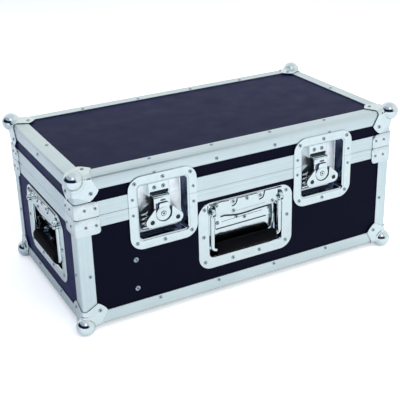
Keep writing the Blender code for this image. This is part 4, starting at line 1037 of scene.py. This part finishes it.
def make_bail(name, place):
    """Make a handle's bent rod with its eyes and the rings that hold them, the middle of each ring in painted
    shade.
    """
    bm = bmesh.new()
    turn = ROD_FOOT + ROD_BEND
    path = [(-BAIL_X, ROD_TOP)] + arc((-BAIL_X + ROD_BEND, turn), ROD_BEND, 180.0, 270.0, 8)
    path += arc((BAIL_X - ROD_BEND, turn), ROD_BEND, 270.0, 360.0, 8) + [(BAIL_X, ROD_TOP)]
    add_rod(bm, [place @ Vector((u, BAIL_DEPTH, v)) for u, v in path], ROD_RADIUS, 20)
    for side in (-1, 1):
        add_lathe(bm, EYE_PROFILE, pivot_place(place, side, BAIL_X), 28)
        x, height = RING_PLACE
        add_lathe(bm, RING_PROFILE, at(place, side * x, 0, height), 28, (0, 1))
    finish_piece(f"{name}_bail_rod", bm, name, (CHROME, PAINTED_SHADE), [f"{name}_bail"])


def make_grip(name, place):
    """Make a handle's rubber grip with rounded ends."""
    bm = bmesh.new()
    full = rounded_rectangle(*GRIP_SECTION, steps=8)
    loft(bm, [
        [bm.verts.new(place @ Vector((u, GRIP_MIDDLE + a * share, ROD_FOOT + b * share))) for a, b in full]
        for u, share in GRIP_SECTIONS])
    rubber = finishes["black_rubber"]
    finish_piece(f"{name}_grip_rubber", bm, name, (rubber,), [f"{name}_grip"])


def make_handle(name, place):
    """Make a handle: dish, bail, grip and rivets."""
    make_handle_dish(name, place)
    make_bail(name, place)
    make_grip(name, place)
    spots = [at(place, u, 0.0003, v) for u, v in HANDLE_RIVETS]
    spots += [at(place, u, SHEET_FACE, v) for u, v in COVER_RIVETS]
    spots += [at(place, u, TAB_FACE, v) for u, v in TAB_RIVETS]
    spots += [at(place, u, STRIP_FACE + (v - STRIP_START) * STRIP_SLOPE, v) for u, v in STRIP_RIVETS]
    rivets(f"{name}_rivets", "base", spots)


# Ball corners

BALL_RADIUS = 0.0134
BALL_INSET = 0.0033
COLLAR_RADIUS = 0.0166
COLLAR_RISE = 0.0022
COLLAR_BEND = 0.0072
COLLAR_BOX = 0.06
# How a corner is smoothed into one skin: grain of the mesh, strength, rounds and the share of faces kept
VOXEL = 0.00045
SMOOTHING_FACTOR = 0.5
SMOOTHING_ROUNDS = 4
FACES_KEPT = 0.35
CORNER_BEND = 60.0
CORNER_RIVET = 0.0244


def corner_signs(node):
    """Return 1 or -1 for right or left, back or front, and top or bottom, as a corner's node lies."""
    low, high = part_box(node)
    middle = (low.x + high.x, low.y + high.y, low.z + high.z - GROUND - TOP)
    return tuple(1 if part > 0 else -1 for part in middle)


def beside_edge(side, front, inset, height):
    """Return a place on each of the two faces that meet at an upright edge."""
    return [
        at(FRONT if front < 0 else BACK, (HALF_WIDTH - inset) * side * (-front), SHEET_FACE, height),
        at(LEFT if side < 0 else RIGHT, (HALF_DEPTH - inset) * front * side, SHEET_FACE, height)]


def clean_copy(node):
    """Return a CAD node's mesh with its shared points merged."""
    bm = bmesh.new()
    bm.from_mesh(frame["nodes"][node].data)
    bmesh.ops.remove_doubles(bm, verts=bm.verts, dist=WELD)
    return bm


def add_collar(bm, centre, way, level):
    """Add the raised collar round a ball: a rounded box corner cut by a larger ball."""
    tip = Vector((way.x * HALF_WIDTH, way.y * HALF_DEPTH, level)) + way * COLLAR_RISE
    box, ball = bmesh.new(), bmesh.new()
    bmesh.ops.create_cube(box, size=COLLAR_BOX, matrix=Matrix.Translation(tip - way * (COLLAR_BOX / 2)))
    bmesh.ops.bevel(box, geom=list(box.edges), offset=COLLAR_BEND, segments=8, profile=0.5, affect="EDGES")
    add_ball(ball, COLLAR_RADIUS, centre)
    cutter = new_object("collar_ball", ball)
    collar = new_object("collar", evaluated(box, [("BOOLEAN", {"operation": "INTERSECT", "object": cutter})]))
    bm.from_mesh(collar.data)
    remove_object(cutter)
    remove_object(collar)


def add_ball(bm, radius, centre):
    """Add a fine ball."""
    bmesh.ops.create_icosphere(bm, subdivisions=5, radius=radius, matrix=Matrix.Translation(centre))


def make_ball_corner(node, body):
    """Press a corner out of one sheet: ball, collar, crease and three legs, in one smooth skin."""
    side, front, rise = corner_signs(node)
    level = TOP if rise > 0 else GROUND
    way = Vector((side, front, rise))
    centre = Vector((side * HALF_WIDTH, front * HALF_DEPTH, level)) - way * BALL_INSET
    bm = clean_copy(node)
    add_ball(bm, BALL_RADIUS, centre)
    add_collar(bm, centre, way, level)
    bmesh.ops.recalc_face_normals(bm, faces=bm.faces)
    made = evaluated(bm, [
        ("REMESH", {"mode": "VOXEL", "voxel_size": VOXEL}),
        ("SMOOTH", {"factor": SMOOTHING_FACTOR, "iterations": SMOOTHING_ROUNDS}),
        ("DECIMATE", {"ratio": FACES_KEPT})])
    finish_piece(f"{node}_pressing", made, body, (CHROME,), [node], CORNER_BEND)
    spots = beside_edge(side, front, CORNER_RIVET, level - rise * CORNER_RIVET)
    x, y = side * (HALF_WIDTH - CORNER_RIVET), front * (HALF_DEPTH - CORNER_RIVET)
    spots.append(at(LID_TOP if rise > 0 else UNDERSIDE, x * rise, SHEET_FACE, y))
    rivets(f"{node}_rivets", body, spots)


# Corner brackets

EDGE_RADIUS = 0.005
BEND = EDGE_RADIUS * math.pi / 4
BEND_STEPS = 26
BRACKET_BACK = -0.0003
BRACKET_ROUNDING = 0.0005
# How far the face of a bracket's outermost sections lies behind the rest
BRACKET_EASE = (0.0007, 0.00025)
BRACKET_RIVETS = (0.0138, 0.0287)
LID_BRACKET_LIFT = 0.0008
# A row is (distance from the side face, low, high)
BASE_BRACKET_ROWS = mm((
    (28.6, 151.2, 176.3), (30.2, 151.3, 176.3), (31.7, 151.7, 176.3), (33.1, 152.5, 176.2),
    (34.2, 153.8, 176), (34.9, 155.6, 175.5), (35.3, 157.8, 174.5)))
LID_BRACKET_ROWS = mm((
    (25.5, 176.7, 198.6), (27.5, 176.7, 198.5), (29.5, 176.7, 198), (31.5, 176.8, 196.9), (33, 176.9, 195.2),
    (34, 177.2, 192.8), (34.5, 177.8, 190)))


def wrap(side, front, s, depth, height):
    """Return a point on a sheet bent round an upright edge, at a length s from the middle of the bend."""
    middle = Vector((side * (HALF_WIDTH - EDGE_RADIUS), front * (HALF_DEPTH - EDGE_RADIUS), 0.0))
    angle = math.pi / 4 + max(-BEND, min(BEND, s)) / EDGE_RADIUS
    out = Vector((side * math.cos(angle), front * math.sin(angle), 0.0))
    point = middle + out * (EDGE_RADIUS - depth)
    if s > BEND:
        point.x -= side * (s - BEND)
    elif s < -BEND:
        point.y -= front * (-s - BEND)
    point.z = height
    return point


def bracket_section(face, bottom, top):
    """Return the loop of (depth, height) round a bracket's section, with rounded outer edges."""
    r = BRACKET_ROUNDING
    return (
        (BRACKET_BACK, bottom), (face + r, bottom), (face + r * 0.3, bottom + r * 0.3), (face, bottom + r),
        (face, top - r), (face + r * 0.3, top - r * 0.3), (face + r, top), (BRACKET_BACK, top))


def make_bracket(node, body, outline_rows):
    """Bend a scalloped bracket round an upright edge."""
    side, front, rise = corner_signs(node)
    ends = [(distance - EDGE_RADIUS + BEND, bottom, top) for distance, bottom, top in outline_rows]
    inner, bottom, top = ends[0]
    middle = [(-inner + 2 * inner * step / BEND_STEPS, bottom, top) for step in range(1, BEND_STEPS)]
    rows = [(-s, bottom, top) for s, bottom, top in reversed(ends)] + middle + ends
    bm = bmesh.new()
    loops = []
    for index, (s, bottom, top) in enumerate(rows):
        from_end = min(index, len(rows) - 1 - index)
        face = SHEET_FACE + (BRACKET_EASE[from_end] if from_end < len(BRACKET_EASE) else 0.0)
        section = bracket_section(face, bottom, top)
        loops.append([bm.verts.new(wrap(side, front, s, depth, v)) for depth, v in section])
    loft(bm, loops)
    finish_piece(f"{node}_skin", bm, body, (BRACKET_METAL,), [node])
    low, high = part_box(node)
    height = (low.z + high.z) / 2 + (LID_BRACKET_LIFT if body == "lid" else 0.0)
    spots = []
    for distance in BRACKET_RIVETS:
        spots += beside_edge(side, front, distance, height)
    rivets(f"{node}_rivets", body, spots, SMALL_RIVET)


# Rivets along the extrusion, and the screws

EDGE_ROW = mm((-144, -48, 48, 144))
SHORT_ROW = (-0.048, 0.048)
BOTTOM_RIVET = 0.0264
POST_RIVET = (0.0148, 0.0889)
LID_FRONT_RIVET = 0.2196
LID_SIDE_RIVET = 0.2239
# How far the rivets of the top and the underside lie from the long and the short edges
FLAT_INSET = (0.0146, 0.015)
HINGE_RIVETS = mm((-180, -135, -90, -45, 0, 45, 90, 135, 180))
HINGE_FACE = -0.0023
HINGE_HEIGHTS = (0.1610, 0.1920)
SCREW_X = -0.1776
SCREWS = (("divider_screw_upper", 0.0956), ("divider_screw_lower", 0.0505))
SCREW_PROFILE = mm((
    (0, 24.8), (1.5, 23), (1.8, 20.5), (1.8, 3), (2.2, 1.9), (4, 1.8), (4, 1.5), (3.8, 0.9), (3.4, 0.5),
    (2.9, 0.35), (2.5, 0.6), (2.3, 1), (1.9, 0.8), (1.3, 0.8), (0.9, 1.4), (0, 1.5)))


def edge_rivets():
    """Set the rivets along the edges, as the photograph spaces them."""
    base, lid = [], []
    for face in (FRONT, BACK):
        base += [at(face, u, 0.0, BOTTOM_RIVET) for u in EDGE_ROW]
        base += [at(face, side * (HALF_WIDTH - POST_RIVET[0]), 0.0, POST_RIVET[1]) for side in (-1, 1)]
        lid += [at(face, u, 0.0, LID_FRONT_RIVET) for u in EDGE_ROW]
    for face in (LEFT, RIGHT):
        base += [at(face, u, 0.0, BOTTOM_RIVET) for u in SHORT_ROW]
        base += [at(face, side * (HALF_DEPTH - POST_RIVET[0]), 0.0, POST_RIVET[1]) for side in (-1, 1)]
        lid += [at(face, 0.0, 0.0, LID_SIDE_RIVET)]
    for side in (-1, 1):
        y, x = side * (HALF_DEPTH - FLAT_INSET[0]), side * (HALF_WIDTH - FLAT_INSET[1])
        lid += [at(LID_TOP, u, 0.0, y) for u in EDGE_ROW]
        lid.append(at(LID_TOP, x, 0.0, 0.0))
        base += [at(UNDERSIDE, u, 0.0, y) for u in EDGE_ROW]
        base += [at(UNDERSIDE, x, 0.0, v) for v in SHORT_ROW]
    base += [at(BACK, u, HINGE_FACE, HINGE_HEIGHTS[0]) for u in HINGE_RIVETS]
    lid += [at(BACK, u, HINGE_FACE, HINGE_HEIGHTS[1]) for u in HINGE_RIVETS]
    rivets("base_edge_rivets", "base", base, EDGE_RIVET)
    rivets("lid_edge_rivets", "lid", lid, EDGE_RIVET)


def make_screws():
    """Make the two countersunk screws in cup washers on the front wall, with painted shade in the recess of
    each head.
    """
    for name, height in SCREWS:
        bm = bmesh.new()
        add_lathe(bm, SCREW_PROFILE, at(FRONT, SCREW_X, 0.0, height), 28, (13, 14))
        finish_piece(f"{name}_head", bm, "base", (RIVET_AND_SHADE_LINE_METAL, PAINTED_SHADE), [name])


for latch_name, latch_x in (("latch_left", -LATCH_X), ("latch_right", LATCH_X)):
    make_latch(latch_name, latch_x)
for handle_name, handle_place in (("handle_front", FRONT), ("handle_left", LEFT), ("handle_right", RIGHT)):
    make_handle(handle_name, handle_place)
for body_name, bracket_rows in (("base", BASE_BRACKET_ROWS), ("lid", LID_BRACKET_ROWS)):
    for corner in ("front_left", "front_right", "back_left", "back_right"):
        make_ball_corner(f"{body_name}_ball_corner_{corner}", body_name)
        make_bracket(f"{body_name}_corner_bracket_{corner}", body_name, bracket_rows)
edge_rivets()
make_screws()


# Stage: floor, backdrop, lamps, world and camera

FLOOR_REACH = 6.0
FLOOR_GLOW = 0.45
# How much of that glow metal and glass show, close to the case and further away
NEAR_GLOSSY_SHARE = 0.85
GLOSSY_SHARE = 0.62
# The side of the room that is dark, and the way to the softbox, as the ball corners show them
DARK_SIDE = (-0.854, -0.519)
SOFTBOX = (-0.207, -0.636, 0.743)
SOFTBOX_COLOUR = (1.6, 1.6, 1.6)
ROOM_TINT = (0.70, 0.80, 1.0, 1.0)
ROOM_STRENGTH = 0.45
WHITE = (1.0, 1.0, 1.0, 1.0)
# Name, place, target, size, energy and colour of each lamp
LAMPS = (
    ("lamp_key", (0.0, -2.2, 2.5), (0.0, -0.1, 0.1), (2.4, 2.0), 70.0, (1.0, 0.99, 0.97)),
    ("lamp_above", (0.2, 0.8, 2.6), (0.0, 0.0, 0.1), (3.0, 2.4), 25.0, (1.0, 1.0, 1.0)),
    ("lamp_left", (-2.4, 0.7, 0.9), (0.0, 0.0, 0.1), (1.8, 1.4), 7.0, (0.40, 0.42, 1.0)))


def make_floor():
    """A pale floor that keeps the shadow and blends into the white behind it."""
    mesh = bpy.data.meshes.new("floor")
    r = FLOOR_REACH
    mesh.from_pydata([(-r, -r, 0), (r, -r, 0), (r, r, 0), (-r, r, 0)], [], [(0, 1, 2, 3)])
    floor = bpy.data.objects.new("floor", mesh)
    bpy.context.scene.collection.objects.link(floor)
    made = bpy.data.materials.new("pale_floor")
    made.use_nodes = True
    net = Net(made.node_tree)
    net.nodes.clear()
    where = net.coordinates()
    tone = net.ramp(net.noise(where, 3.0, 3.0), [(0.3, (0.78, 0.80, 0.81)), (0.7, (0.82, 0.84, 0.85))])
    diffuse = net.node("ShaderNodeBsdfDiffuse", {"Color": tone})
    glow = net.node("ShaderNodeEmission", {"Color": WHITE, "Strength": FLOOR_GLOW})
    both = net.node("ShaderNodeAddShader", {0: diffuse.outputs[0], 1: glow.outputs[0]})
    path = net.node("ShaderNodeLightPath").outputs
    y = net.parts(where)["Y"]
    ahead = net.grey_ramp(
        net.math("MULTIPLY", y, -1.0), [(0.12, 0.0), (0.16, NEAR_GLOSSY_SHARE), (0.26, GLOSSY_SHARE)])
    behind = net.grey_ramp(y, [(0.25, 0.0), (0.6, GLOSSY_SHARE / 2)])
    mirrored = net.math("MAXIMUM", path["Is Glossy Ray"], path["Is Transmission Ray"])
    shown = net.math("MULTIPLY", mirrored, net.math("ADD", ahead, behind))
    seen = net.math("MAXIMUM", path["Is Camera Ray"], shown)
    net.node("ShaderNodeOutputMaterial", {"Surface": net.choose(seen, diffuse, both).outputs[0]})
    mesh.materials.append(made)


def make_world():
    """White for the camera, a pale room for the light, and a room with a dark side for the metal."""
    world = bpy.data.worlds.new("studio")
    bpy.context.scene.world = world
    world.use_nodes = True
    net = Net(world.node_tree)
    net.nodes.clear()
    parts = net.parts(net.coordinates("Generated"))
    toward = net.math("ADD", net.math("MULTIPLY", net.along(parts, DARK_SIDE), 0.5), 0.5)
    side = net.grey_ramp(toward, [(0.53, 0.0), (0.57, 0.6), (0.63, 0.8), (0.73, 1.0)])
    dim = net.ramp(parts["Z"], [
        (0.46, (0.006, 0.010, 0.040)), (0.56, (0.55, 0.60, 0.72)), (0.66, (0.60, 0.65, 0.78)),
        (0.76, (0.34, 0.36, 0.50)), (0.88, (0.80, 0.84, 0.92))])
    bright = net.ramp(parts["Z"], [
        (0.30, (1.02, 1.02, 1.02)), (0.60, (0.97, 1.01, 1.07)), (0.95, (0.82, 0.86, 0.92))])
    softbox = net.grey_ramp(net.along(parts, SOFTBOX), [(0.962, 0.0), (0.978, 1.0)])
    shown = net.mix(softbox, net.mix(side, bright, dim), SOFTBOX_COLOUR)
    glossy = net.node("ShaderNodeBackground", {"Color": shown})
    soft = net.node("ShaderNodeBackground", {"Color": ROOM_TINT, "Strength": ROOM_STRENGTH})
    white = net.node("ShaderNodeBackground", {"Color": WHITE})
    path = net.node("ShaderNodeLightPath").outputs
    room = net.choose(path["Is Glossy Ray"], soft, glossy)
    net.node("ShaderNodeOutputWorld", {"Surface": net.choose(path["Is Camera Ray"], room, white).outputs[0]})


def make_lamp(name, place, target, size, energy, colour):
    """Add a soft rectangular lamp that points at a target."""
    data = bpy.data.lights.new(name, "AREA")
    data.shape = "RECTANGLE"
    data.size, data.size_y = size
    data.energy = energy
    data.color = colour
    lamp = bpy.data.objects.new(name, data)
    lamp.location = place
    lamp.rotation_euler = (Vector(target) - Vector(place)).to_track_quat("-Z", "Y").to_euler()
    lamp.visible_glossy = False
    bpy.context.scene.collection.objects.link(lamp)


def make_camera():
    """Add the camera at the photograph's angle."""
    data = bpy.data.cameras.new("camera")
    data.sensor_width = SENSOR * 1000
    data.lens = FOCAL_PIXELS / FRAME_PIXELS * SENSOR * 1000
    data.shift_x = (FRAME_PIXELS / 2 - AXIS_PIXEL[0]) / FRAME_PIXELS
    data.shift_y = -(FRAME_PIXELS / 2 - AXIS_PIXEL[1]) / FRAME_PIXELS
    data.clip_start = 0.05
    data.clip_end = 50.0
    camera = bpy.data.objects.new("camera", data)
    right, up, back = Vector(CAMERA_RIGHT), -Vector(CAMERA_DOWN), -Vector(CAMERA_FORWARD)
    turn = Matrix((right, up, back)).transposed().to_4x4()
    camera.matrix_world = Matrix.Translation(CAMERA_PLACE) @ turn
    bpy.context.scene.collection.objects.link(camera)
    bpy.context.scene.camera = camera


make_floor()
make_world()
for lamp in LAMPS:
    make_lamp(*lamp)
make_camera()
bpy.context.scene.view_settings.view_transform = "Standard"
